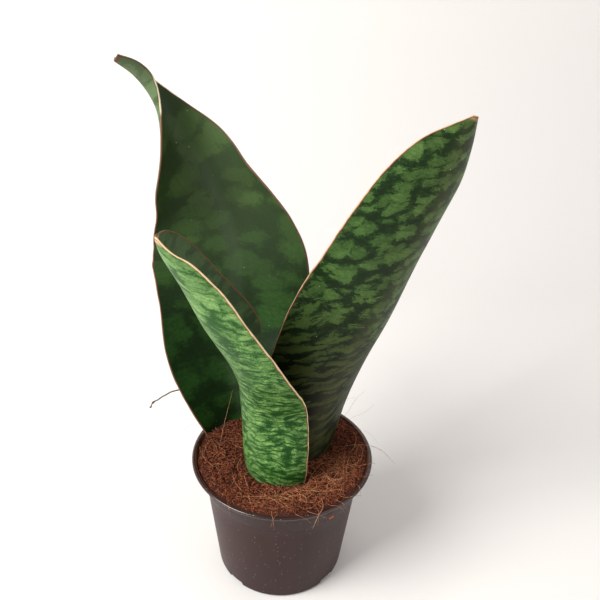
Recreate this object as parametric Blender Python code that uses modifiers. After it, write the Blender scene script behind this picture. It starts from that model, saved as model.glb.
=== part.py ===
"""Potted whale-fin snake plant: three channelled leaves on one crown, in a coir-filled nursery pot.

Metres, +Z up. The pot stands on the plane Z = 0 with its axis on the Z axis, and the viewer's side is -Y.
Each leaf is a smooth run of stations along its keel. A station gives the keel's place, the half width
measured along the blade, how far each half has turned at its margin, and the turn of the whole section.
"""

import math
from typing import NamedTuple

import bmesh
import bpy
from mathutils import Matrix, Vector

MM = 0.001
NAME = "potted_snake_plant"
GAP = 0.3 * MM
SLOT_GAP = 0.4 * MM

# Nursery pot, one thin moulding
RIM_RADIUS = 60.0 * MM
POT_HEIGHT = 88.0 * MM
WALL = 1.4 * MM
LIP_HEIGHT = 2.2 * MM
LIP_REACH = 1.3 * MM
COLLAR_HEIGHT = 19.0 * MM
COLLAR_STEP = 1.1 * MM
COLLAR_FLARE = 0.34  # outwards per unit of height
WALL_SPREAD = 16.0 * MM
FOOT_ROUND = 2.4 * MM
FLOOR_RISE = 3.0 * MM
FLOOR_THICKNESS = 1.6 * MM
PAD_RADIUS = 14.0 * MM
POT_STEPS = 60
NOTCH_COUNT = 4
NOTCH_WIDTH = 12.0 * MM
NOTCH_HEIGHT = 3.6 * MM
FIRST_NOTCH = math.radians(-41.0)
DRAIN_RADIUS = 4.0 * MM
DRAIN_INSET = 11.0 * MM

# Coir plug
SOIL_BELOW_RIM = 6.0 * MM
SOIL_CROWNING = 2.5 * MM

# Crown, rhizome and roots
CROWN_X = -2.0 * MM
CROWN_Y = 8.0 * MM
CROWN_RADIUS = 21.0 * MM
CROWN_DEPTH = 34.0 * MM
CROWN_HEIGHT = 22.0 * MM
CROWN_ROUND = 5.0 * MM
RHIZOME_RADIUS = 7.5 * MM
RHIZOME_LENGTH = 38.0 * MM
RHIZOME_HEADING = math.radians(38.0)
ROOT_RADIUS = 1.5 * MM
ROOT_DROP = 15.0 * MM
ROOT_FLOOR_CLEARANCE = 8.0 * MM
ROOT_WALL_CLEARANCE = 7.0 * MM
ROOT_POINTS = 9
ROOTS = (
    ("root_front", -95.0),
    ("root_front_right", -30.0),
    ("root_back", 98.0),
    ("root_back_left", 150.0),
    ("root_left", 205.0),
)

# Leaves: soft but stiff blades, thick along the keel and thin at the margins
KEEL_THICKNESS = 3.4 * MM
TIP_THICKNESS = 1.7 * MM
MARGIN_THICKNESS = 1.0 * MM
FOLD_SHARPNESS = 0.7
LEAF_ROWS = 36
LEAF_COLUMNS = 10
SECTION_STEPS = 18
SOIL_CUT_ROWS = 14

# Loose pieces
STALK_RADIUS = 0.45 * MM
STRAND_RADIUS = 0.22 * MM
CHIP_SIZE = (3.4 * MM, 1.0 * MM, 2.0 * MM)
CHIP_HEADING = math.radians(-56.0)
CHIP_BELOW_RIM = 10.0 * MM


class Station(NamedTuple):
    """One section of a leaf: millimetres from the pot's axis and from the soil, and degrees."""

    x: float
    y: float
    above_soil: float
    half_width: float
    fold: float
    turn: float


# The tallest leaf, at the back left: its face opens to the viewer and its tip folds over to the left.
LEAF_BACK = (
    Station(-3, 22, -48, 15, 70, 0),
    Station(-27, 37, 2, 34, 58, 12),
    Station(-39, 48, 52, 46, 38, 7),
    Station(-38, 55, 91, 51, 26, 5),
    Station(-38, 58, 124, 54, 30, -4),
    Station(-47, 62, 156, 46, 38, -7),
    Station(-58, 58, 179, 35, 42, 0),
    Station(-71, 53, 202, 22, 50, 41),
    Station(-81, 50, 221, 12, 61, 77),
    Station(-90, 44, 236, 8, 79, 131),
    Station(-100, 40, 244, 4, 77, 132),
)
# The right leaf: folded deep, its outer face to the viewer and its keel to the right.
LEAF_RIGHT = (
    Station(7, 3, -46, 14, 75, -55),
    Station(19, -2, -4, 26, 68, -56),
    Station(25, 3, 40, 41, 60, -54),
    Station(42, 7, 81, 49, 57, -45),
    Station(61, 13, 117, 51, 56, -38),
    Station(75, 13, 152, 48, 53, -37),
    Station(85, 12, 182, 39, 51, -41),
    Station(92, 14, 206, 24, 47, -44),
    Station(98, 13, 225, 2, 41, -44),
)
# The short front leaf: folded, leaning left, its keel to the left and its outer face to the viewer.
LEAF_FRONT = (
    Station(-3, -4, -47, 13, 80, 0),
    Station(-14, -23, -1, 31, 57, 6),
    Station(-20, -17, 45, 38, 62, 0),
    Station(-29, -20, 83, 42, 65, -27),
    Station(-45, -25, 115, 38, 64, -29),
    Station(-56, -27, 140, 31, 58, -26),
    Station(-63, -32, 158, 20, 52, -21),
    Station(-65, -36, 169, 2, 40, -25),
)
# Each leaf, the way its channel opens and its stations
LEAVES = {
    "leaf_back": ((0.0, -1.0, 0.0), LEAF_BACK),
    "leaf_right": ((-1.0, 0.2, 0.0), LEAF_RIGHT),
    "leaf_front": ((0.7, 0.7, 0.2), LEAF_FRONT),
}

FOOT_RADIUS = RIM_RADIUS - WALL_SPREAD
SOIL_LEVEL = POT_HEIGHT - SOIL_BELOW_RIM
CROWN_TOP = SOIL_LEVEL - CROWN_DEPTH
CROWN_BOTTOM = CROWN_TOP - CROWN_HEIGHT
RHIZOME_LEVEL = (CROWN_TOP + CROWN_BOTTOM) / 2
FLOOR_TOP = FLOOR_RISE + FLOOR_THICKNESS
COLLAR_BOTTOM = POT_HEIGHT - COLLAR_HEIGHT
COLLAR_RADIUS = RIM_RADIUS - LIP_REACH
# The bore that the leaves' feet were drawn for, so that they follow a pot of another width
DRAWN_SOIL_BORE = 55.26 * MM


def wall_radius(height):
    """The wall's outer radius: a straight taper below the collar and a wider flare on it."""
    collar_foot = COLLAR_RADIUS - COLLAR_FLARE * COLLAR_HEIGHT
    if height >= COLLAR_BOTTOM:
        return collar_foot + COLLAR_FLARE * (height - COLLAR_BOTTOM)
    top = collar_foot - COLLAR_STEP
    share = (height - FOOT_ROUND) / (COLLAR_BOTTOM - FOOT_ROUND)
    return FOOT_RADIUS + (top - FOOT_RADIUS) * share


def bore_radius(height):
    return wall_radius(height) - WALL


def plant_spread():
    """How much wider the planting is than drawn, so that it follows the bore of the pot."""
    return bore_radius(SOIL_LEVEL) / DRAWN_SOIL_BORE


def crown_place(height):
    """A point on the crown's own axis."""
    return Vector((CROWN_X * plant_spread(), CROWN_Y * plant_spread(), height))


def clear_scene():
    for obj in list(bpy.data.objects):
        bpy.data.objects.remove(obj, do_unlink=True)


def collection(name, hidden=False):
    made = bpy.data.collections.new(name)
    bpy.context.scene.collection.children.link(made)
    made.hide_render = hidden
    return made


def material(name, colour, roughness):
    made = bpy.data.materials.new(name)
    made.use_nodes = True
    made.diffuse_color = (*colour, 1.0)
    shader = made.node_tree.nodes["Principled BSDF"]
    shader.inputs["Base Color"].default_value = (*colour, 1.0)
    shader.inputs["Roughness"].default_value = roughness
    shader.inputs["Metallic"].default_value = 0.0
    return made


def add_object(name, mesh, group, finish=None):
    obj = bpy.data.objects.new(name, mesh)
    group.objects.link(obj)
    if finish:
        mesh.materials.append(finish)
    return obj


def add_cutter(name, mesh):
    obj = add_object(name, mesh, CUTTERS)
    obj.hide_render = True
    obj.display_type = "WIRE"
    return obj


def shade(obj, degrees=40.0):
    obj.data.shade_smooth()
    obj.data.set_sharp_from_angle(angle=math.radians(degrees))


def cut(obj, cutter, operation="DIFFERENCE"):
    step = obj.modifiers.new(f"{operation.lower()}_{cutter.name}"[:60], "BOOLEAN")
    step.operation = operation
    step.solver = "EXACT"
    step.object = cutter


def turned(name, profile, group, finish=None, steps=POT_STEPS):
    """A solid turned about Z from (radius, height) points that run up the inside and down the outside."""
    mesh = bpy.data.meshes.new(name)
    points = [(radius, 0.0, height) for radius, height in profile]
    mesh.from_pydata(points, [(i, i + 1) for i in range(len(points) - 1)], [])
    obj = add_object(name, mesh, group, finish)
    screw = obj.modifiers.new("turn", "SCREW")
    screw.axis = "Z"
    screw.steps = steps
    screw.render_steps = steps
    screw.use_merge_vertices = True
    screw.merge_threshold = 0.0001 * MM
    screw.use_smooth_shade = True
    return obj


def round_corner(radius, height, reach, start, end, steps=3):
    """Points on a quarter-turn of a fillet centred on (radius, height), angles in degrees."""
    angles = [math.radians(start + (end - start) * i / steps) for i in range(steps + 1)]
    return [(radius + reach * math.cos(a), height + reach * math.sin(a)) for a in angles]


def baked(obj, name):
    """The evaluated shape of an object as a mesh of its own, its caps welded, in place of the object."""
    bpy.context.view_layer.update()
    graph = bpy.context.evaluated_depsgraph_get()
    mesh = bpy.data.meshes.new_from_object(obj.evaluated_get(graph))
    mesh.name = name
    work = bmesh.new()
    work.from_mesh(mesh)
    bmesh.ops.remove_doubles(work, verts=work.verts, dist=0.001 * MM)
    bmesh.ops.recalc_face_normals(work, faces=work.faces)
    work.to_mesh(mesh)
    work.free()
    mesh.transform(obj.matrix_world)
    bpy.data.objects.remove(obj, do_unlink=True)
    return mesh


def smooth_run(knots, count):
    """Points along a smooth curve through the knots, evenly shared between them."""
    last = len(knots) - 1
    return [Vector(between(knots, last * i / (count - 1))) for i in range(count)]


def between(rows, place):
    """Rows of numbers read at a fractional place, on a Catmull-Rom curve."""
    first = min(int(place), len(rows) - 2)
    t = place - first
    before = rows[first - 1] if first else [2 * a - b for a, b in zip(rows[0], rows[1])]
    after = rows[first + 2] if first + 2 < len(rows) else [2 * b - a for a, b in zip(rows[-2], rows[-1])]
    found = []
    for a, b, c, d in zip(before, rows[first], rows[first + 1], after):
        bend = 2 * a - 5 * b + 4 * c - d
        swing = 3 * b - a - 3 * c + d
        found.append(0.5 * (2 * b + (c - a) * t + bend * t * t + swing * t**3))
    return found


def tube(name, run, radius, group, finish=None):
    """A round strand through the points of a run, closed at both ends."""
    curve = bpy.data.curves.new(name, "CURVE")
    curve.dimensions = "3D"
    curve.bevel_depth = radius
    curve.bevel_resolution = 1
    curve.use_fill_caps = True
    line = curve.splines.new("POLY")
    line.points.add(len(run) - 1)
    for point, place in zip(line.points, run):
        point.co = (*place, 1.0)
    obj = bpy.data.objects.new(name, curve)
    group.objects.link(obj)
    mesh = baked(obj, name)
    made = add_object(name, mesh, group, finish)
    shade(made, 60.0)
    return made


def make_pot():
    """The moulding: lip, collar, step, tapered wall, foot skirt, raised floor and centre pad."""
    top = POT_HEIGHT
    lip_round = LIP_HEIGHT / 2
    foot = FOOT_RADIUS - FOOT_ROUND
    skirt = FOOT_RADIUS - FOOT_ROUND - WALL
    pad_slope = PAD_RADIUS + FLOOR_RISE
    inner = [
        (0.0, FLOOR_THICKNESS),
        (PAD_RADIUS, FLOOR_THICKNESS),
        (pad_slope, FLOOR_TOP),
        (bore_radius(FLOOR_TOP) - WALL, FLOOR_TOP),
        (bore_radius(FLOOR_TOP + WALL), FLOOR_TOP + WALL),
        (bore_radius(COLLAR_BOTTOM - 2 * WALL), COLLAR_BOTTOM - 2 * WALL),
        (bore_radius(COLLAR_BOTTOM), COLLAR_BOTTOM),
        (bore_radius(top - LIP_HEIGHT), top - LIP_HEIGHT),
        (bore_radius(top), top - lip_round / 2),
    ]
    lip = [(bore_radius(top) + lip_round / 2, top)]
    lip += round_corner(RIM_RADIUS - lip_round, top - lip_round, lip_round, 90, -90, 4)
    outer = [
        (wall_radius(top - LIP_HEIGHT) + GAP, top - LIP_HEIGHT),
        (wall_radius(top - 1.4 * LIP_HEIGHT), top - 1.4 * LIP_HEIGHT),
        (wall_radius(COLLAR_BOTTOM), COLLAR_BOTTOM),
        (wall_radius(COLLAR_BOTTOM - COLLAR_STEP), COLLAR_BOTTOM - COLLAR_STEP),
        (wall_radius(FLOOR_TOP), FLOOR_TOP),
    ]
    outer += round_corner(foot, FOOT_ROUND, FOOT_ROUND, 0, -90, 4)
    under = [
        (skirt, 0.0),
        (skirt, FLOOR_RISE),
        (pad_slope + FLOOR_THICKNESS / 2, FLOOR_RISE),
        (PAD_RADIUS + FLOOR_THICKNESS / 2, 0.0),
        (0.0, 0.0),
    ]
    pot = turned("nursery_pot", inner + lip + outer + under, PARTS, PLASTIC)
    for index in range(NOTCH_COUNT):
        heading = FIRST_NOTCH + 2 * math.pi * index / NOTCH_COUNT
        cut(pot, make_notch(index, heading))
        cut(pot, make_drain(index, heading))
    return pot


def make_notch(index, heading):
    """A flat-topped opening through the foot skirt, where water runs out."""
    work = bmesh.new()
    depth = 4 * (WALL + FOOT_ROUND)
    size = Matrix.Diagonal((depth, NOTCH_WIDTH, 2 * NOTCH_HEIGHT, 1.0))
    place = Matrix.Rotation(heading, 4, "Z") @ Matrix.Translation((FOOT_RADIUS, 0.0, 0.0))
    bmesh.ops.create_cube(work, size=1.0, matrix=place @ size)
    mesh = bpy.data.meshes.new(f"notch_{index}")
    work.to_mesh(mesh)
    work.free()
    return add_cutter(f"notch_{index}", mesh)


def make_drain(index, heading):
    """A round hole through the raised floor, inside each notch."""
    work = bmesh.new()
    out = FOOT_RADIUS - DRAIN_INSET
    place = Matrix.Rotation(heading, 4, "Z") @ Matrix.Translation((out, 0.0, FLOOR_RISE))
    bmesh.ops.create_cone(
        work,
        cap_ends=True,
        segments=20,
        radius1=DRAIN_RADIUS,
        radius2=DRAIN_RADIUS,
        depth=6 * FLOOR_THICKNESS,
        matrix=place,
    )
    mesh = bpy.data.meshes.new(f"drain_{index}")
    work.to_mesh(mesh)
    work.free()
    return add_cutter(f"drain_{index}", mesh)


def section_point(half_width, fold, side):
    """Across and inward distance of a blade point, with side -1..1 from margin to margin.

    The blade turns quickest beside the keel: its angle grows as a power of the distance from it.
    A side past 1 follows the same curve beyond the margin.
    """
    across = inward = 0.0
    for step in range(SECTION_STEPS):
        reach = (step + 0.5) / SECTION_STEPS * abs(side)
        angle = fold * reach**FOLD_SHARPNESS
        across += math.cos(angle)
        inward += math.sin(angle)
    length = half_width * abs(side) / SECTION_STEPS
    return math.copysign(across * length, side), inward * length


def leaf_rows(opening, stations):
    """Frames along a leaf: keel point, across and inward directions, half width and fold."""
    spread = plant_spread()
    last = len(stations) - 1
    values = [between(stations, last * row / LEAF_ROWS) for row in range(LEAF_ROWS + 1)]
    keel = [Vector(v[:3]) * spread * MM + Vector((0, 0, SOIL_LEVEL)) for v in values]
    rows = []
    for row, value in enumerate(values):
        along = (keel[min(row + 1, LEAF_ROWS)] - keel[max(row - 1, 0)]).normalized()
        inward = Vector(opening)
        inward = (inward - inward.dot(along) * along).normalized()
        turn = Matrix.Rotation(math.radians(value[5]), 3, along)
        inward = turn @ inward
        across = along.cross(inward)
        rows.append((keel[row], across, inward, value[3] * spread * MM, math.radians(value[4])))
    return rows


def leaf_mesh(name, opening, stations, grow=0.0, kept_rows=LEAF_ROWS):
    """The open middle surface of a blade, with a vertex group that carries its thickness."""
    rows = leaf_rows(opening, stations)
    work = bmesh.new()
    bmesh.ops.create_grid(work, x_segments=LEAF_ROWS, y_segments=LEAF_COLUMNS, size=1.0)
    layer = work.verts.layers.deform.verify()
    beyond = []
    for vert in work.verts:
        row = round((vert.co.x + 1) / 2 * LEAF_ROWS)
        side = vert.co.y
        keel, across, inward, half_width, fold = rows[row]
        out, up = section_point(half_width, fold, side * (1 + grow / half_width))
        vert.co = keel + across * out + inward * up
        along = row / LEAF_ROWS
        thick = KEEL_THICKNESS + (TIP_THICKNESS - KEEL_THICKNESS) * along
        vert[layer][0] = (thick - MARGIN_THICKNESS) / (KEEL_THICKNESS - MARGIN_THICKNESS) * (1 - side * side)
        if row > kept_rows:
            beyond.append(vert)
    bmesh.ops.delete(work, geom=beyond, context="VERTS")
    bmesh.ops.recalc_face_normals(work, faces=work.faces)
    mesh = bpy.data.meshes.new(name)
    work.to_mesh(mesh)
    work.free()
    return mesh


def thicken(obj, grow=0.0):
    """Gives the blade its thickness, the vertex group's share of it from margin to keel."""
    obj.vertex_groups.new(name="thickness")
    solid = obj.modifiers.new("thickness", "SOLIDIFY")
    solid.thickness = KEEL_THICKNESS + 2 * grow
    solid.offset = 0.0
    solid.use_even_offset = True
    solid.vertex_group = "thickness"
    solid.thickness_vertex_group = (MARGIN_THICKNESS + 2 * grow) / (KEEL_THICKNESS + 2 * grow)


def make_seat_cutter():
    """A block that takes everything below the leaves' seat on the crown."""
    work = bmesh.new()
    side = 2 * RIM_RADIUS
    top = CROWN_TOP + GAP
    place = Matrix.Translation((0, 0, top - side / 2)) @ Matrix.Diagonal((side, side, side, 1.0))
    bmesh.ops.create_cube(work, size=1.0, matrix=place)
    mesh = bpy.data.meshes.new("crown_seat")
    work.to_mesh(mesh)
    work.free()
    return add_cutter("crown_seat", mesh)


def make_leaves():
    seat = make_seat_cutter()
    for name, (opening, stations) in LEAVES.items():
        leaf = add_object(name, leaf_mesh(name, opening, stations), PARTS, LEAF_FINISH[name])
        thicken(leaf)
        cut(leaf, seat)
        shade(leaf, 50.0)


def crown_profile(grow):
    """The crown as a squat turned body with rounded edges, top to bottom from the axis out and back."""
    radius = CROWN_RADIUS + grow
    low = CROWN_BOTTOM - grow
    high = CROWN_TOP + grow
    profile = [(0.0, high)]
    profile += round_corner(radius - CROWN_ROUND / 2, high - CROWN_ROUND / 2, CROWN_ROUND / 2, 90, 0)
    profile += round_corner(radius - CROWN_ROUND, low + CROWN_ROUND, CROWN_ROUND, 0, -90)
    profile.append((0.0, low))
    return profile


def rhizome_profile(grow):
    """The creeping stem as a turned body with a blunt growing tip."""
    radius = RHIZOME_RADIUS + grow
    tip = RHIZOME_LENGTH + grow
    profile = [(0.0, tip)]
    profile += round_corner(radius * 0.2, tip - 0.8 * radius, 0.8 * radius, 80, 0, 5)
    profile.append((0.0, 0.0))
    return profile


def make_stem(name, group, finish=None, grow=0.0):
    """The crown with its creeping stem, larger all round by grow."""
    crown = turned(name, crown_profile(grow), group, finish, steps=36)
    crown.location = crown_place(0.0)
    stem = turned(f"{name}_creeping", rhizome_profile(grow), CUTTERS, steps=24)
    stem.hide_render = True
    stem.display_type = "WIRE"
    stem.location = crown_place(RHIZOME_LEVEL)
    stem.rotation_euler = (0.0, math.pi / 2, RHIZOME_HEADING)
    cut(crown, stem, "UNION")
    return crown


def root_run(heading):
    """A root's points from the crown's side, out and down to the floor near the wall."""
    out = Vector((math.cos(heading), math.sin(heading), 0.0))
    low = FLOOR_TOP + ROOT_FLOOR_CLEARANCE
    begin = crown_place(CROWN_TOP - ROOT_DROP) + out * (CROWN_RADIUS + GAP + ROOT_RADIUS / 2)
    end = out * (bore_radius(low) - ROOT_WALL_CLEARANCE) + Vector((0, 0, low))
    halfway = begin.lerp(end, 0.5)
    halfway.z = begin.z + (end.z - begin.z) * 0.35
    return smooth_run([begin, begin + out * 2 * ROOT_RADIUS, halfway, end], ROOT_POINTS)


def longer(run, before, after):
    """The same run, reaching on straight at each end."""
    start = run[0] + (run[0] - run[1]).normalized() * before
    end = run[-1] + (run[-1] - run[-2]).normalized() * after
    return [start, *run[1:-1], end]


def make_roots(plug):
    for name, degrees in ROOTS:
        heading = math.radians(degrees)
        run = root_run(heading)
        tube(name, run, ROOT_RADIUS, PARTS, ROOT_FINISH)
        slot_run = longer(run, CROWN_ROUND, GAP)
        slot = tube(f"{name}_slot", slot_run, ROOT_RADIUS + 2 * GAP, CUTTERS)
        slot.hide_render = True
        slot.display_type = "WIRE"
        cut(plug, slot)


def make_plug():
    """The coir that fills the pot, with pockets for the crown, the roots and the leaves' feet."""
    low = FLOOR_TOP + GAP
    pad_slope = PAD_RADIUS + FLOOR_RISE
    profile = [
        (0.0, SOIL_LEVEL + SOIL_CROWNING),
        (0.5 * bore_radius(SOIL_LEVEL), SOIL_LEVEL + 0.7 * SOIL_CROWNING),
        (bore_radius(SOIL_LEVEL) - GAP, SOIL_LEVEL),
        (bore_radius(COLLAR_BOTTOM) - GAP, COLLAR_BOTTOM),
        (bore_radius(COLLAR_BOTTOM - 2 * WALL) - GAP, COLLAR_BOTTOM - 2 * WALL),
        (bore_radius(low + WALL) - GAP, low + WALL),
        (bore_radius(low) - WALL - GAP, low),
        (pad_slope - GAP / 2, low),
        (PAD_RADIUS - GAP / 2, FLOOR_THICKNESS + GAP),
        (0.0, FLOOR_THICKNESS + GAP),
    ]
    plug = turned("coir_substrate", profile, PARTS, COIR, steps=48)
    pocket = make_stem("crown_pocket", CUTTERS, grow=GAP)
    pocket.hide_render = True
    pocket.display_type = "WIRE"
    cut(plug, pocket)
    gap = SLOT_GAP * plant_spread()
    for name, (opening, stations) in LEAVES.items():
        mesh = leaf_mesh(f"{name}_slot", opening, stations, gap, SOIL_CUT_ROWS)
        slot = add_cutter(f"{name}_slot", mesh)
        thicken(slot, gap)
        cut(plug, slot)
    return plug


def on_soil(x, y, above):
    """A point given in millimetres from the axis and from the soil, held to the pot's width."""
    spread = plant_spread()
    return Vector((x * spread * MM, y * spread * MM, SOIL_LEVEL + above * MM))


def over_rim(heading, out, above):
    """A point past the rim at a heading: millimetres out from the lip and above its top."""
    degrees = math.radians(heading)
    reach = RIM_RADIUS + out * MM
    return Vector((reach * math.cos(degrees), reach * math.sin(degrees), POT_HEIGHT + above * MM))


def make_loose_pieces():
    """The dry stalk, the three long strands that stand clear of the coir, and the chip on the collar."""
    lift = SOIL_CROWNING / MM + 1.0
    stalk = [on_soil(-30, 43, lift), over_rim(127, -5, 8), over_rim(151, 22, 19), over_rim(160, 38, 12)]
    stalk.append(over_rim(161, 42, 6))
    tube("dry_stalk", smooth_run(stalk, 14), STALK_RADIUS, PARTS, STALK)
    upright = [on_soil(-42, 8, lift), on_soil(-39, 9, lift + 14), on_soil(-31, 6, lift + 38)]
    tube("coir_strand_upright", smooth_run(upright, 10), STRAND_RADIUS, PARTS, FIBRE)
    right = [on_soil(34, 8, lift), over_rim(6, -6, 2.5), over_rim(2, 6, 1.5), over_rim(-4, 16, -4)]
    tube("coir_strand_right", smooth_run(right, 12), STRAND_RADIUS, PARTS, FIBRE)
    front = [on_soil(24, -34, lift), over_rim(-62, -4, 1.6), over_rim(-68, 2, 0.8), over_rim(-72, 5, -5)]
    tube("coir_strand_front", smooth_run(front, 12), STRAND_RADIUS, PARTS, FIBRE)
    make_chip()


def make_chip():
    """A sliver of husk that clings to the collar."""
    height = POT_HEIGHT - CHIP_BELOW_RIM
    out = wall_radius(height + CHIP_SIZE[2]) + 2 * GAP + CHIP_SIZE[1] / 2
    work = bmesh.new()
    bmesh.ops.create_cube(work, size=1.0, matrix=Matrix.Diagonal((CHIP_SIZE[1], CHIP_SIZE[0], CHIP_SIZE[2], 1)))
    mesh = bpy.data.meshes.new("coir_chip")
    work.to_mesh(mesh)
    work.free()
    chip = add_object("coir_chip", mesh, PARTS, COIR)
    chip.location = (out * math.cos(CHIP_HEADING), out * math.sin(CHIP_HEADING), height)
    chip.rotation_euler = (math.radians(12.0), 0.0, CHIP_HEADING)
    edge = chip.modifiers.new("edge", "BEVEL")
    edge.width = CHIP_SIZE[1] / 4
    edge.segments = 2
    shade(chip)


clear_scene()
PARTS = collection(NAME)
CUTTERS = collection(f"{NAME}_cutters", hidden=True)
PLASTIC = material("taupe_plastic", (0.085, 0.062, 0.066), 0.42)
COIR = material("coir", (0.16, 0.055, 0.03), 0.95)
FIBRE = material("coir_fibre", (0.42, 0.22, 0.13), 0.8)
STALK = material("dry_stalk", (0.05, 0.03, 0.02), 0.8)
ROOT_FINISH = material("orange_root", (0.55, 0.25, 0.08), 0.7)
LEAF_FINISH = {
    "leaf_back": material("leaf_dark", (0.013, 0.045, 0.012), 0.4),
    "leaf_right": material("leaf_mottled", (0.02, 0.07, 0.015), 0.4),
    "leaf_front": material("leaf_bright", (0.03, 0.15, 0.04), 0.4),
}
make_pot()
coir = make_plug()
make_stem("rhizome", PARTS, ROOT_FINISH)
make_roots(coir)
make_leaves()
make_loose_pieces()
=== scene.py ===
import logging
import math
import random
from dataclasses import dataclass, field
from enum import Enum
from typing import Any, Callable, NamedTuple, Optional, Sequence

import bmesh
import bpy
from mathutils import Matrix, Vector, noise
from mathutils.kdtree import KDTree


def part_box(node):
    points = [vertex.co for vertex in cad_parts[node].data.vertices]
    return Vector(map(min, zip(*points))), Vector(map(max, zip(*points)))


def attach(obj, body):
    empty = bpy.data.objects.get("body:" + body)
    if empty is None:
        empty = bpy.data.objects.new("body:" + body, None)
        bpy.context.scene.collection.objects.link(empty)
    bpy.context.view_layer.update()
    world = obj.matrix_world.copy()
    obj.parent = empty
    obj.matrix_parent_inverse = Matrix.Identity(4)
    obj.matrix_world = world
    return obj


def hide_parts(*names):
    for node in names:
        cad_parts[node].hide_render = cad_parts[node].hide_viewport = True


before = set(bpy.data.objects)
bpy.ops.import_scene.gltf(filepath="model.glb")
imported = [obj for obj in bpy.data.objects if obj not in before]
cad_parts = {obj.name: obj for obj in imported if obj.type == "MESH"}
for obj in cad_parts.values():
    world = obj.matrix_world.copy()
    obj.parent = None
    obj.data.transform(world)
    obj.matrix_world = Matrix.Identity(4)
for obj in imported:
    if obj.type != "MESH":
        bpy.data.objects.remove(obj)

LOG = logging.getLogger("potted_snake_plant")
MM = 0.001
BODY = "root"
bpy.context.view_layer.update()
POT_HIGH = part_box("nursery_pot")[1]
CROWN_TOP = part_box("rhizome")[1].z
TOP = POT_HIGH.z
SOIL_LEVEL = TOP - 6.0 * MM
POT_WALL = 1.4 * MM
LIP_HEIGHT = 2.2 * MM
LIP_REACH = 1.3 * MM
COLLAR_HEIGHT = 19.0 * MM
COLLAR_FLARE = 0.34
MAP_UNIT = 100.0  # millimetres of blade to one unit of its map
SEED = 7

Colour = tuple[float, float, float, float]
Section = list[tuple[float, float]]
Floats = Sequence[float]
Knots = Sequence[Floats]
Socket = bpy.types.NodeSocket


class Strand(Enum):
    """The kinds of loose fibre, each with its thinnest and thickest radius in millimetres."""

    SCRAP = (0.16, 0.5)
    HAIR = (0.07, 0.15)
    RIM = (0.09, 0.14)

    def radius(self, rng: random.Random) -> float:
        """Return one strand's radius in metres.

        Args:
            rng: The random source.

        Returns:
            A radius between the kind's limits.
        """
        return rng.uniform(*self.value) * MM


# ---------------------------------------------------------------- small helpers


def linear(hex_colour: str) -> Colour:
    """Turn an sRGB hex colour into linear RGBA.

    Args:
        hex_colour: Six hex digits after a hash.

    Returns:
        Linear red, green, blue and an alpha of one.
    """
    channels = [int(hex_colour[i : i + 2], 16) / 255 for i in (1, 3, 5)]
    turned = [c / 12.92 if c <= 0.04045 else ((c + 0.055) / 1.055) ** 2.4 for c in channels]
    return (turned[0], turned[1], turned[2], 1.0)


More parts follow.
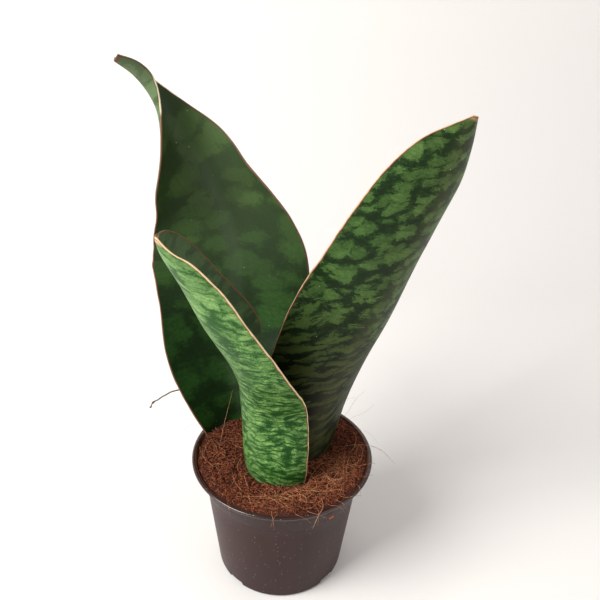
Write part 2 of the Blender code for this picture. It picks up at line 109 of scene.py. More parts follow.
class Painter:
    """One new material, and short ways to combine sockets in its tree."""

    def __init__(self, name: str) -> None:
        """Start the material.

        Args:
            name: The material's name.
        """
        self.material = bpy.data.materials.new(name)
        self.material.use_nodes = True
        self.tree = self.material.node_tree

    def plug(self, node: bpy.types.Node, links: dict) -> bpy.types.Node:
        """Fill a node's inputs.

        Args:
            node: The node.
            links: Input name or index to a value, or to the socket that feeds it.

        Returns:
            The node.
        """
        for key, value in links.items():
            if isinstance(value, bpy.types.NodeSocket):
                self.tree.links.new(value, node.inputs[key])
            else:
                node.inputs[key].default_value = value
        return node

    def add(self, kind: str, links: Optional[dict] = None, **settings: Any) -> bpy.types.NodeOutputs:
        """Add one node with its settings, values and links.

        Args:
            kind: Node type without its "ShaderNode" prefix.
            links: Input name or index to a value, or to the socket that feeds it.
            settings: Node properties; "stops" fills a colour ramp with (place, colour) pairs.

        Returns:
            The new node's outputs.
        """
        made = self.tree.nodes.new(f"ShaderNode{kind}")
        stops = settings.pop("stops", ())
        for key, value in settings.items():
            setattr(made, key, value)
        for index, (place, colour) in enumerate(stops):
            elements = made.color_ramp.elements
            element = elements[index] if index < len(elements) else elements.new(place)
            element.position = place
            element.color = colour
        return self.plug(made, links or {}).outputs

    def finish(self, links: dict) -> bpy.types.Material:
        """Fill the shader's inputs.

        Args:
            links: Input name to a value, or to the socket that feeds it.

        Returns:
            The material.
        """
        self.plug(self.tree.nodes["Principled BSDF"], links)
        return self.material

    def place(self) -> Socket:
        """Return the piece's own coordinates in metres."""
        return self.add("TexCoord")["Object"]

    def math(self, operation: str, a: Any, b: Any = 0.0, c: Any = 0.0, clamp: bool = False) -> Socket:
        """One arithmetic step.

        Args:
            operation: The Math node's operation.
            a: First value or socket.
            b: Second value or socket.
            c: Third value or socket.
            clamp: Whether the result is held to 0..1.

        Returns:
            The result socket.
        """
        return self.add("Math", {0: a, 1: b, 2: c}, operation=operation, use_clamp=clamp)[0]

    def times(self, a: Any, b: Any) -> Socket:
        """Multiply two numbers.

        Args:
            a: First value or socket.
            b: Second value or socket.

        Returns:
            The product.
        """
        return self.math("MULTIPLY", a, b)

    def ease(self, value: Any, low: float, high: float, start: float = 0.0, end: float = 1.0) -> Socket:
        """A smooth step.

        Args:
            value: What is read.
            low: Value where the step starts.
            high: Value where it ends.
            start: Result below low.
            end: Result above high.

        Returns:
            The eased socket.
        """
        links = {"Value": value, "From Min": low, "From Max": high, "To Min": start, "To Max": end}
        return self.add("MapRange", links, interpolation_type="SMOOTHSTEP")["Result"]

    def mix(self, amount: Any, a: Any, b: Any, blend: str = "MIX") -> Socket:
        """Mix two colours.

        Args:
            amount: Share of b.
            a: First colour: a socket or sRGB hex.
            b: Second colour: a socket or sRGB hex.
            blend: The Mix node's blend type.

        Returns:
            The colour socket.
        """
        a, b = (linear(value) if isinstance(value, str) else value for value in (a, b))
        return self.add("Mix", {0: amount, 6: a, 7: b}, data_type="RGBA", blend_type=blend)[2]

    def mix_values(self, amount: Any, a: Any, b: Any) -> Socket:
        """Mix two plain numbers.

        Args:
            amount: Share of b.
            a: First value or socket.
            b: Second value or socket.

        Returns:
            The mixed number.
        """
        return self.add("Mix", {0: amount, 2: a, 3: b}, data_type="FLOAT")[0]

    def vector(self, operation: str, a: Any, b: Any, c: Any = (0.0, 0.0, 0.0)) -> Socket:
        """One step of vector arithmetic.

        Args:
            operation: The Vector Math node's operation.
            a: First vector or socket.
            b: Second vector or socket.
            c: Third vector or socket.

        Returns:
            The vector socket.
        """
        return self.add("VectorMath", {0: a, 1: b, 2: c}, operation=operation)[0]

    def scaled(self, vector: Any, x: float, y: float, z: float = 0.0) -> Socket:
        """Scale a vector along its axes.

        Args:
            vector: The vector socket.
            x: Factor on X.
            y: Factor on Y.
            z: Factor on Z.

        Returns:
            The vector socket.
        """
        return self.vector("MULTIPLY", vector, (x, y, z))

    def noise(self, vector: Any, factors: Floats, detail: float, rough: float) -> bpy.types.NodeOutputs:
        """A noise texture.

        Args:
            vector: Coordinates.
            factors: Patterns per unit along each axis.
            detail: Octaves.
            rough: How strong the finer octaves are.

        Returns:
            The noise node's outputs.
        """
        links = {"Vector": self.scaled(vector, *factors), "Scale": 1.0, "Detail": detail, "Roughness": rough}
        return self.add("TexNoise", links)

    def grain(self, vector: Any, factors: Floats, detail: float = 2.0, rough: float = 0.5) -> Socket:
        """A noise as one plain number.

        Args:
            vector: Coordinates.
            factors: Patterns per unit along each axis.
            detail: Octaves.
            rough: How strong the finer octaves are.

        Returns:
            The value, 0..1.
        """
        return self.noise(vector, factors, detail, rough)["Fac"]

    def cells(
        self, vector: Any, factors: Floats, flat: bool = False, smooth: float = 0.0
    ) -> tuple[Socket, bpy.types.NodeOutputs]:
        """A cell pattern.

        Args:
            vector: Coordinates.
            factors: Cells per unit along each axis.
            flat: Whether only X and Y count.
            smooth: How soft the borders between cells are.

        Returns:
            The distance to the cell's middle, and three random numbers of the cell's own.
        """
        links = {"Vector": self.scaled(vector, *factors), "Scale": 1.0}
        if smooth:
            links["Smoothness"] = smooth
        feature = "SMOOTH_F1" if smooth else "F1"
        made = self.add("TexVoronoi", links, feature=feature, voronoi_dimensions="2D" if flat else "3D")
        return made["Distance"], self.add("SeparateColor", {"Color": made["Color"]})

    def bump(self, height: Any, distance: float, strength: float, normal: Optional[Socket] = None) -> Socket:
        """A bump.

        Args:
            height: Height socket, 0..1.
            distance: Real height of the relief in metres.
            strength: Share of it.
            normal: A normal to build on.

        Returns:
            The normal socket.
        """
        links = {"Height": height, "Distance": distance, "Strength": strength}
        if normal is not None:
            links["Normal"] = normal
        return self.add("Bump", links)["Normal"]


def new_object(name: str, mesh: bpy.types.Mesh, finishes: Sequence[bpy.types.Material]) -> bpy.types.Object:
    """Link a mesh as an object at the origin.

    Args:
        name: Object and mesh name.
        mesh: Its mesh.
        finishes: Materials, in slot order.

    Returns:
        The object.
    """
    obj = bpy.data.objects.new(name, mesh)
    bpy.context.scene.collection.objects.link(obj)
    for finish in finishes:
        mesh.materials.append(finish)
    return obj


def mesh_from(work: bmesh.types.BMesh, name: str) -> bpy.types.Mesh:
    """Write a bmesh out and free it.

    Args:
        work: The bmesh.
        name: Name for the mesh.

    Returns:
        The mesh.
    """
    mesh = bpy.data.meshes.new(name)
    work.to_mesh(mesh)
    work.free()
    return mesh


def applied(obj: bpy.types.Object) -> bpy.types.Object:
    """Make an object's modifiers real.

    Args:
        obj: An object with modifiers.

    Returns:
        The same object, with the evaluated mesh and no modifier.
    """
    bpy.context.view_layer.update()
    graph = bpy.context.evaluated_depsgraph_get()
    shown = obj.evaluated_get(graph)
    made = bpy.data.meshes.new_from_object(shown, preserve_all_data_layers=True, depsgraph=graph)
    made.name = obj.name
    obj.modifiers.clear()
    obj.data = made
    return obj


def turned(section: Section, steps: int) -> bmesh.types.BMesh:
    """Turn a section round the pot's axis.

    Args:
        section: (radius, height) pairs, from the axis out and back to it.
        steps: How many steps the turn takes.

    Returns:
        The closed surface, with its faces outwards.
    """
    work = bmesh.new()
    ring = [work.verts.new((x, 0.0, z)) for x, z in section]
    for a, b in zip(ring, ring[1:]):
        work.edges.new((a, b))
    bmesh.ops.spin(
        work,
        geom=list(work.verts) + list(work.edges),
        cent=(0, 0, 0),
        axis=(0, 0, 1),
        angle=2 * math.pi,
        steps=steps,
        use_merge=True,
    )
    bmesh.ops.remove_doubles(work, verts=list(work.verts), dist=0.001 * MM)
    bmesh.ops.recalc_face_normals(work, faces=list(work.faces))
    return work


def settle(
    obj: bpy.types.Object, replaced: Sequence[str] = (), sharp: float = 40.0
) -> bpy.types.Object:
    """Finish a piece: smooth shading, its ride and the CAD nodes it stands for.

    Args:
        obj: The piece.
        replaced: CAD nodes it stands for.
        sharp: Angle in degrees past which an edge stays sharp.

    Returns:
        The piece.
    """
    obj.data.shade_smooth()
    obj.data.set_sharp_from_angle(angle=math.radians(sharp))
    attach(obj, BODY)
    if replaced:
        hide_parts(*replaced)
    return obj


# ---------------------------------------------------------------- finishes


@dataclass(frozen=True)
class MouldedPolypropylene:
    """Injection-moulded taupe polypropylene: a satin skin with soft broad highlights and faint flow marks."""

    body: str = "#311b1a"
    worn: str = "#3d2624"
    # painted shade: a near-black brown that darkens the collar, which faces up into the light
    shade: str = "#140a08"
    dust: str = "#d8cfc8"
    coir_dust: str = "#7a4f38"
    roughness: float = 0.36
    lip_polish: float = 0.22

    def band(self, paint: Painter, height: Socket) -> Socket:
        """Return a mask of the collar, between the step and the lip, which carries the collar's painted shade
        and its lower specular.

        Args:
            paint: The material's painter.
            height: Height above the ground.

        Returns:
            The mask.
        """
        foot, top = TOP - COLLAR_HEIGHT, TOP - LIP_HEIGHT
        fade = paint.ease(height, top - 1.3 * MM, top - 0.3 * MM, 1.0, 0.0)
        return paint.times(paint.ease(height, foot - 0.8 * MM, foot), fade)

    def inner_wall(self, paint: Painter, place: Socket, height: Socket) -> Socket:
        """Return a mask of the wall's inner face above the coir.

        Args:
            paint: The material's painter.
            place: The piece's own coordinates.
            height: Height above the ground.

        Returns:
            The mask.
        """
        radius = paint.add("VectorMath", {0: paint.scaled(place, 1.0, 1.0)}, operation="LENGTH")["Value"]
        middle = POT_HIGH.x - LIP_REACH - COLLAR_FLARE * TOP - POT_WALL + 0.5 * MM
        wall = paint.math("MULTIPLY_ADD", height, COLLAR_FLARE, middle)
        inside = paint.ease(paint.math("SUBTRACT", radius, wall), -0.2 * MM, 0.2 * MM, 1.0, 0.0)
        return paint.times(inside, paint.ease(height, TOP - 10.5 * MM, TOP - 9 * MM))

    def build(self) -> bpy.types.Material:
        """Return the material; its specks of coir dust and lime are up to half a millimetre across."""
        paint = Painter("moulded_polypropylene")
        place = paint.place()
        height = paint.add("SeparateXYZ", {"Vector": place})["Z"]
        cloud = paint.grain(place, (40, 40, 25), 3, 0.55)
        colour = paint.mix(paint.ease(cloud, 0.35, 0.75, 0.0, 0.55), self.body, self.worn)
        flow = paint.grain(place, (900, 900, 30), 2, 0.6)
        colour = paint.mix(paint.ease(flow, 0.6, 0.85, 0.0, 0.25), colour, self.worn)
        distance, own = paint.cells(place, (750, 750, 750))
        size = paint.math("MULTIPLY_ADD", own["Red"], 0.55, -0.365)
        speck = paint.ease(paint.math("SUBTRACT", size, distance), 0.0, 0.03)
        colour = paint.mix(paint.times(speck, 0.7), colour, self.dust)
        grime = paint.times(self.inner_wall(paint, place, height), paint.ease(cloud, 0.3, 0.6, 0.2, 0.85))
        colour = paint.mix(grime, colour, self.coir_dust)
        # the collar mask: painted shade in the colour, and less specular
        collar = self.band(paint, height)
        rough = paint.math("MULTIPLY_ADD", cloud, 0.16, self.roughness)
        rubbed = paint.ease(height, TOP - 2.5 * MM, TOP - 0.5 * MM, 0.0, self.lip_polish)
        shine = paint.ease(height, TOP - 2.8 * MM, TOP - 1.2 * MM, 0.22, 0.65)
        skin = paint.grain(place, (1300, 1300, 700))
        return paint.finish(
            {
                # painted shade: the collar darkened a fifth of the way towards the shade colour
                "Base Color": paint.mix(paint.times(collar, 0.2), colour, self.shade),
                "Roughness": paint.math("SUBTRACT", rough, rubbed),
                "Normal": paint.bump(cloud, 0.4 * MM, 0.35, paint.bump(skin, 0.04 * MM, 0.6)),
                "Specular IOR Level": paint.math("MULTIPLY_ADD", collar, -0.08, shine),
                "IOR": 1.49,
            }
        )


@dataclass(frozen=True)
class CoirFibre:
    """Shredded coconut husk: matt, rust-brown, each scrap its own tone, with dark gaps between.

    The grain is the distance in millimetres over which the tone changes.
    """

    name: str
    dark: str
    middle: str
    light: str
    grain: float
    roughness: float = 0.9

    def build(self) -> bpy.types.Material:
        """Return the material."""
        paint = Painter(self.name)
        place = paint.place()
        size = 1 / (self.grain * MM)
        tone = paint.cells(place, (size, size, size))[1]["Red"]
        drift = paint.times(paint.grain(place, (70, 70, 70), 3, 0.6), 0.42)
        share = paint.math("MULTIPLY_ADD", tone, 0.62, drift, clamp=True)
        stops = zip((0.12, 0.5, 0.92), map(linear, (self.dark, self.middle, self.light)))
        fuzz = paint.grain(place, (2600, 2600, 2600), 2, 0.7)
        return paint.finish(
            {
                "Base Color": paint.add("ValToRGB", {"Fac": share}, stops=stops)["Color"],
                "Normal": paint.bump(fuzz, 0.2 * MM, 0.7),
                "Roughness": self.roughness,
                "Specular IOR Level": 0.25,
            }
        )


@dataclass(frozen=True)
class PlantSkin:
    """Dry or fleshy plant tissue off the blade: stalk, rhizome and roots, with lengthwise grain."""

    name: str
    dark: str
    light: str
    roughness: float

    def build(self) -> bpy.types.Material:
        """Return the material; its grain is about a millimetre wide."""
        paint = Painter(self.name)
        grain = paint.grain(paint.place(), (900, 900, 260), 4, 0.65)
        return paint.finish(
            {
                "Base Color": paint.mix(paint.ease(grain, 0.3, 0.7), self.dark, self.light),
                "Normal": paint.bump(grain, 0.3 * MM, 0.6),
                "Roughness": self.roughness,
            }
        )


@dataclass(frozen=True)
class Margin:
    """The horny margin of a blade, in millimetres: a worn lip with a red-brown line inside it.

    The other lip is the one on the blade's negative side, and bare is the stretch of length where
    the lip is cream.
    """

    lip: str
    line: str
    lip_width: float
    line_width: float
    bare: tuple[float, float] = (0.0, 0.0)
    cream: str = "#ddd2b2"
    other_lip: str = ""


@dataclass(frozen=True)
class Patches:
    """One scale of the mottling: patch size in millimetres, how much they cover and how torn they are."""

    across: float
    along: float
    cover: float
    ragged: float
    seed: float


@dataclass(frozen=True)
class Tint:
    """Ground and patch colours that come in along the blade, from one length in millimetres to another."""

    ground: str
    patch: str
    start: float
    end: float
    amount: float


class BladeMap(NamedTuple):
    """A point's place on the blade, in millimetres, and a slow drift of tone.

    Flat holds across and up as one vector, keel is the plain distance from the keel.
    """

    flat: Socket
    across: Socket
    keel: Socket
    up: Socket
    cloud: Socket


@dataclass(frozen=True)
class WaxyLeaf:
    """Sansevieria skin: a waxy cuticle over mottled green, with a horny reddish margin.

    The pattern reads the blade's own map, in millimetres from the keel and from the crown: ragged
    patches above and dashed cross-bands near the foot, as the real leaf has. The chevron is how
    steeply the bands climb, near the foot and above; skewed bands run on across the keel.
    """

    name: str
    ground: str
    middle: str
    patch: str
    pale: str
    # colour of the painted sheen along the keel, partly the waxy bloom; also of the papery streaks at the
    # foot
    bloom_and_sheen: str
    upper: Patches
    lower: Patches
    change: tuple[float, float]
    contrast: float
    margin: Margin
    chevron: tuple[float, float] = (0.0, 0.0)
    skewed: bool = False
    cool: float = 0.0
    # how strong the painted sheen along the keel is
    keel_sheen_and_bloom: float = 0.0
    tints: tuple[Tint, ...] = ()
    foot_streaks: float = 0.0
    tear: float = 0.35
    soft: float = 0.05
    crumb: tuple[float, float] = (2.2, 0.9)
    streak: float = 0.1
    roughness: float = 0.42
    specular: float = 0.3
    callus: str = "#8a6a4a"

    def mottle(self, paint: Painter, bent: Socket, size: Patches) -> tuple[Socket, Socket]:
        """Lay out separate ragged patches of one size.

        Args:
            paint: The material's painter.
            bent: The blade's map in millimetres, gently bent.
            size: The patches.

        Returns:
            Depth inside a patch, negative outside it, and a slow random number for its tone.
        """
        moved = paint.vector("ADD", bent, (size.seed, size.seed * 1.7, 0.0))
        distance, own = paint.cells(moved, (1 / size.across, 1 / size.along), flat=True, smooth=0.45)
        reach = paint.math("MULTIPLY_ADD", own["Red"], 0.4, size.cover - 0.2)
        tear = paint.grain(moved, (3.1 / size.across, 3.1 / size.along), 4, 0.66)
        torn = paint.math("MULTIPLY_ADD", tear, size.ragged * 2, -size.ragged)
        return paint.math("ADD", paint.math("SUBTRACT", reach, distance), torn), own["Green"]

    def pattern(self, paint: Painter, at: BladeMap) -> tuple[Socket, Socket]:
        """Lay the lower bands and the upper patches over one another.

        Args:
            paint: The material's painter.
            at: The place on the blade.

        Returns:
            Depth inside a patch and its tone.
        """
        drift = paint.noise(at.flat, (1 / 18, 1 / 14), 2, 0.5)["Color"]
        swing = paint.vector("SUBTRACT", drift, (0.5, 0.5, 0.5))
        bent = paint.vector("MULTIPLY_ADD", swing, (12.0, 12.0, 0.0), at.flat)
        blend = paint.ease(at.up, *self.change)
        slant = paint.math("MULTIPLY_ADD", blend, self.chevron[1] - self.chevron[0], self.chevron[0])
        climb = paint.times(at.across if self.skewed else at.keel, slant)
        bent = paint.vector("ADD", bent, paint.add("CombineXYZ", {"Y": climb})[0])
        high, tone = self.mottle(paint, bent, self.upper)
        low, low_tone = self.mottle(paint, bent, self.lower)
        across, along = self.crumb
        crumbs = paint.grain(bent, (1 / across, 1 / along), 3, 0.75)
        crumbs = paint.math("MULTIPLY_ADD", crumbs, 2 * self.tear, -self.tear)
        depth = paint.math("ADD", paint.mix_values(blend, low, high), crumbs)
        return depth, paint.mix_values(blend, low_tone, tone)

    def greens(self, paint: Painter, at: BladeMap, depth: Socket) -> tuple[Socket, Socket]:
        """Colour the ground and the patches.

        Args:
            paint: The material's painter.
            at: The place on the blade.
            depth: Depth inside a patch.

        Returns:
            The ground's and the patches' colours.
        """
        fleck = paint.grain(at.flat, (1 / 3.4, 1 / 1.9), 3, 0.7)
        gap = paint.times(paint.ease(depth, -0.55, -0.05), paint.ease(fleck, 0.44, 0.6, 0.1, 1.0))
        gap = paint.times(gap, paint.ease(at.cloud, 0.3, 0.65, 0.45, 1.0))
        ground = paint.mix(gap, self.ground, self.middle)
        lighter = paint.times(paint.ease(fleck, 0.38, 0.66), paint.ease(depth, 0.0, 0.35, 0.25, 1.0))
        patch = paint.mix(lighter, self.patch, self.pale)
        for tint in self.tints:
            uneven = paint.ease(at.cloud, 0.25, 0.7, tint.amount * 0.7, tint.amount)
            amount = paint.times(paint.ease(at.up, tint.start, tint.end), uneven)
            ground = paint.mix(amount, ground, tint.ground)
            patch = paint.mix(amount, patch, tint.patch)
        return ground, patch

    def with_sheen_and_streaks(self, paint: Painter, at: BladeMap, colour: Socket) -> Socket:
        """Lay the painted sheen along the keel, partly the leaf's waxy bloom, the papery streaks at the foot
        and the small scars over a colour.

        Args:
            paint: The material's painter.
            at: The place on the blade.
            colour: The blade's colour so far.

        Returns:
            The colour.
        """
        # painted sheen: grey-olive along the keel where grazing light catches it, partly the leaf's waxy
        # bloom
        keel_sheen = paint.ease(at.keel, 1, 10, self.keel_sheen_and_bloom, 0.0)
        uneven = paint.ease(at.cloud, 0.2, 0.7, 0.5, 1.0)
        colour = paint.mix(paint.times(keel_sheen, uneven), colour, self.bloom_and_sheen)
        if self.foot_streaks:
            strips = paint.grain(at.flat, (1 / 1.6, 1 / 40), 3, 0.6)
            low = paint.ease(at.up, 30, 80, self.foot_streaks, 0.0)
            worn = paint.times(low, paint.ease(strips, 0.48, 0.7))
            colour = paint.mix(worn, colour, self.bloom_and_sheen)
        distance, own = paint.cells(at.flat, (1 / 17, 1 / 21), flat=True)
        scar = paint.math("LESS_THAN", distance, paint.math("MULTIPLY_ADD", own["Blue"], 0.045, -0.025))
        return paint.mix(paint.times(scar, 0.6), colour, "#b9bfa6")

    def with_margin(self, paint: Painter, at: BladeMap, colour: Socket) -> Socket:
        """Lay the horny margin and the dry callus at the tip over the blade's colour.

        Args:
            paint: The material's painter.
            at: The place on the blade.
            colour: The blade's colour so far.

        Returns:
            The colour with a red-brown line and a pale lip outside it.
        """
        edge, tip = (paint.add("Attribute", attribute_name=name)["Fac"] for name in ("edge_mm", "tip_mm"))
        uneven = paint.grain(at.flat, (1 / 6, 1 / 6))
        dry = paint.ease(paint.math("MULTIPLY_ADD", uneven, 2.4, tip), 2.4, 4.6, 1.0, 0.0)
        colour = paint.mix(dry, colour, self.callus)
        near = paint.math("ADD", edge, paint.ease(uneven, 0.2, 0.8, -0.25, 0.25))
        size = self.margin
        line = paint.ease(near, size.line_width, size.line_width + 0.6, 0.85, 0.0)
        lip = paint.ease(near, size.lip_width, size.lip_width + 0.3, 1.0, 0.0)
        colour = paint.mix(line, colour, size.line)
        low, high = size.bare
        bare = paint.times(paint.ease(at.up, low - 4, low), paint.ease(at.up, high, high + 4, 1.0, 0.0))
        worn = paint.mix(paint.ease(at.across, -1, 1), size.other_lip or size.lip, size.lip)
        return paint.mix(lip, colour, paint.mix(bare, worn, size.cream))

    def build(self) -> bpy.types.Material:
        """Return the material."""
        paint = Painter(self.name)
        flat = paint.scaled(paint.add("UVMap", uv_map="blade")["UV"], MAP_UNIT, MAP_UNIT)
        true = paint.add("SeparateXYZ", {"Vector": flat})
        keel = paint.math("ABSOLUTE", true["X"])
        at = BladeMap(flat, true["X"], keel, true["Y"], paint.grain(flat, (1 / 30, 1 / 50)))
        depth, tone = self.pattern(paint, at)
        ground, patch = self.greens(paint, at, depth)
        share = paint.ease(depth, 0.02 - self.soft, 0.02 + self.soft)
        strength = paint.ease(tone, 0.15, 0.65, self.contrast * 0.6, self.contrast)
        colour = paint.mix(paint.times(share, strength), ground, patch)
        bluish = paint.mix(1.0, colour, "#9fe0bf", "MULTIPLY")
        colour = paint.mix(paint.times(paint.ease(keel, 14, 38), self.cool), colour, bluish)
        fibre = paint.grain(flat, (1 / 0.7, 1 / 26), 3, 0.6)
        vein = paint.ease(fibre, 0.3, 0.75, 1 - self.streak, 1 + self.streak)
        colour = paint.add("HueSaturation", {"Value": vein, "Color": colour})["Color"]
        pores = paint.grain(flat, (1 / 0.9, 1 / 1.3), 2, 0.6)
        return paint.finish(
            {
                "Base Color": self.with_margin(paint, at, self.with_sheen_and_streaks(paint, at, colour)),
                "Roughness": paint.math("MULTIPLY_ADD", at.cloud, 0.14, self.roughness),
                "Normal": paint.bump(pores, 0.08 * MM, 0.35, paint.bump(fibre, 0.12 * MM, 0.35)),
                "IOR": 1.45,
                "Specular IOR Level": self.specular,
            }
        )


# ---------------------------------------------------------------- the pot


@dataclass
class NurseryPot:
    """The thin nursery pot: one moulding with a rolled lip, collar, step, tapered wall and slotted foot."""

    finish: MouldedPolypropylene = field(default_factory=MouldedPolypropylene)
    rim_radius: float = POT_HIGH.x
    height: float = TOP
    wall: float = POT_WALL
    lip_height: float = LIP_HEIGHT
    lip_reach: float = LIP_REACH
    collar_height: float = COLLAR_HEIGHT
    collar_step: float = 1.1 * MM
    foot_radius: float = 44.0 * MM
    foot_round: float = 2.4 * MM
    floor_rise: float = 3.0 * MM
    floor_thickness: float = 1.6 * MM
    pad_radius: float = 14.0 * MM
    flare: float = COLLAR_FLARE
    steps: int = 192
    notch_size: tuple[float, float] = (12.0 * MM, 3.6 * MM)
    first_notch: float = math.radians(-41.0)
    drain_radius: float = 4.0 * MM
    drain_inset: float = 11.0 * MM

    def outer(self, z: float) -> float:
        """The wall's outer radius.

        Args:
            z: Height above the ground.

        Returns:
            The radius in metres.
        """
        low = self.height - self.collar_height
        collar_foot = self.rim_radius - self.lip_reach - self.flare * self.collar_height
        if z >= low:
            return collar_foot + self.flare * (z - low)
        share = (z - self.foot_round) / (low - self.foot_round)
        return self.foot_radius + (collar_foot - self.collar_step - self.foot_radius) * share

    def bore(self, z: float) -> float:
        """The wall's inner radius.

        Args:
            z: Height above the ground.

        Returns:
            The radius in metres.
        """
        return self.outer(z) - self.wall

    @staticmethod
    def arc(x: float, z: float, reach: float, start: float, end: float, steps: int) -> Section:
        """Points on an arc.

        Args:
            x: Centre radius.
            z: Centre height.
            reach: Arc radius.
            start: First angle in degrees.
            end: Last angle in degrees.
            steps: Number of steps.

        Returns:
            (radius, height) pairs.
        """
        turns = [math.radians(start + (end - start) * i / steps) for i in range(steps + 1)]
        return [(x + reach * math.cos(a), z + reach * math.sin(a)) for a in turns]

    def profile(self) -> Section:
        """Return the wall's section from the middle of the floor, up the inside and down the outside."""
        top = self.height
        low = top - self.collar_height
        floor_top = self.floor_rise + self.floor_thickness
        slope = self.pad_radius + self.floor_rise
        lip = self.lip_height / 2
        skirt = self.foot_radius - self.foot_round - self.wall
        inner = [(0.0, self.floor_thickness), (self.pad_radius, self.floor_thickness), (slope, floor_top)]
        corner = self.bore(floor_top + 2 * MM)
        inner += self.arc(corner - 2 * MM, floor_top + 2 * MM, 2 * MM, -90, 0, 5)
        inner += [(self.bore(z), z) for z in (20 * MM, 40 * MM, 58 * MM, low - 3 * MM, low)]
        inner += [(self.bore(z), z) for z in (low + 5 * MM, top - 4 * MM, top - 2 * MM)]
        inner += self.arc(self.bore(top) + 0.7 * MM, top - 0.7 * MM, 0.7 * MM, 180, 90, 5)
        rolled = self.arc(self.rim_radius - lip, top - lip, lip, 90, -80, 12)
        wall_top = top - self.lip_height - 0.4 * MM
        outer = [(self.outer(wall_top) + 0.25 * MM, wall_top + 0.35 * MM), (self.outer(wall_top), wall_top)]
        outer += [(self.outer(z), z) for z in (top - 7 * MM, low + 1.2 * MM)]
        outer += self.arc(self.outer(low) - 0.5 * MM, low + 0.5 * MM, 0.5 * MM, 0, -80, 4)
        outer.append((self.outer(low - 0.2 * MM) + 0.12 * MM, low - 0.1 * MM))
        outer.append((self.outer(low - 0.8 * MM), low - 0.8 * MM))
        outer += [(self.outer(z), z) for z in (60 * MM, 45 * MM, 30 * MM, 15 * MM, 5 * MM)]
        outer += self.arc(self.foot_radius - self.foot_round, self.foot_round, self.foot_round, 0, -90, 8)
        under = [(skirt, 0.0), (skirt, self.floor_rise), (slope + 0.8 * MM, self.floor_rise)]
        under += [(self.pad_radius + 0.8 * MM, 0.0), (0.0, 0.0)]
        return inner + rolled + outer + under

    def notch(self, turn: Matrix) -> bmesh.types.BMesh:
        """Return the block with a rounded top that opens one cut-out in the foot.

        Args:
            turn: Which way from the axis it lies.

        Returns:
            The block.
        """
        width, rise = self.notch_size
        size = Matrix.Diagonal((15 * MM, width, 2 * rise, 1.0))
        work = bmesh.new()
        place = turn @ Matrix.Translation((self.foot_radius, 0, 0))
        bmesh.ops.create_cube(work, size=1.0, matrix=place @ size)
        outward = turn.to_3x3() @ Vector((1, 0, 0))
        tops = [e for e in work.edges if all(v.co.z > 0 for v in e.verts)]
        along = [e for e in tops if abs((e.verts[0].co - e.verts[1].co).dot(outward)) > MM]
        bmesh.ops.bevel(
            work, geom=along, offset=1.2 * MM, segments=4, profile=0.5, affect="EDGES", material=-1
        )
        return work

    def drain(self, turn: Matrix) -> bmesh.types.BMesh:
        """Return the rod that opens one drain in the floor.

        Args:
            turn: Which way from the axis it lies.

        Returns:
            The rod.
        """
        work = bmesh.new()
        bmesh.ops.create_cone(
            work,
            cap_ends=True,
            segments=32,
            radius1=self.drain_radius,
            radius2=self.drain_radius,
            depth=10 * MM,
            matrix=turn @ Matrix.Translation((self.foot_radius - self.drain_inset, 0, self.floor_rise)),
        )
        return work

    def cutters(self) -> list[bpy.types.Object]:
        """Return the four blocks and the four rods, in turn round the foot."""
        made = []
        for index in range(4):
            turn = Matrix.Rotation(self.first_notch + index * math.pi / 2, 4, "Z")
            for name, cut in (("notch", self.notch(turn)), ("drain", self.drain(turn))):
                made.append(new_object(f"{name}_{index}", mesh_from(cut, name), ()))
        return made

    def build(self) -> bpy.types.Object:
        """Return the finished pot."""
        shell = turned(self.profile(), self.steps)
        pot = new_object("pot_shell", mesh_from(shell, "pot_shell"), [self.finish.build()])
        cutters = self.cutters()
        for cutter in cutters:
            step = pot.modifiers.new(cutter.name, "BOOLEAN")
            step.operation = "DIFFERENCE"
            step.solver = "EXACT"
            step.object = cutter
        applied(pot)
        for cutter in cutters:
            bpy.data.objects.remove(cutter, do_unlink=True)
        return settle(pot, ["nursery_pot"], 38.0)


# ---------------------------------------------------------------- the leaves


class Station(NamedTuple):
    """One section of a leaf: millimetres from the pot's axis and from the soil, and degrees."""

    x: float
    y: float
    above_soil: float
    half_width: float
    fold: float
    turn: float


class Frame(NamedTuple):
    """A section's place on the blade."""

    keel: Vector
    across: Vector
    inward: Vector
    half_width: float
    fold: float
    length: float


def between(rows: Sequence[Sequence[float]], place: float) -> list[float]:
    """Read rows of numbers at a fractional place, on a Catmull-Rom curve.

    Args:
        rows: The rows.
        place: Where to read, 0 to the last row.

    Returns:
        The row at that place.
    """
    first = min(int(place), len(rows) - 2)
    t = place - first
    before = rows[first - 1] if first else [2 * a - b for a, b in zip(rows[0], rows[1])]
    after = rows[first + 2] if first + 2 < len(rows) else [2 * b - a for a, b in zip(rows[-2], rows[-1])]
    found = []
    for a, b, c, d in zip(before, rows[first], rows[first + 1], after):
        bend = 2 * a - 5 * b + 4 * c - d
        swing = 3 * b - a - 3 * c + d
        found.append(0.5 * (2 * b + (c - a) * t + bend * t * t + swing * t**3))
    return found


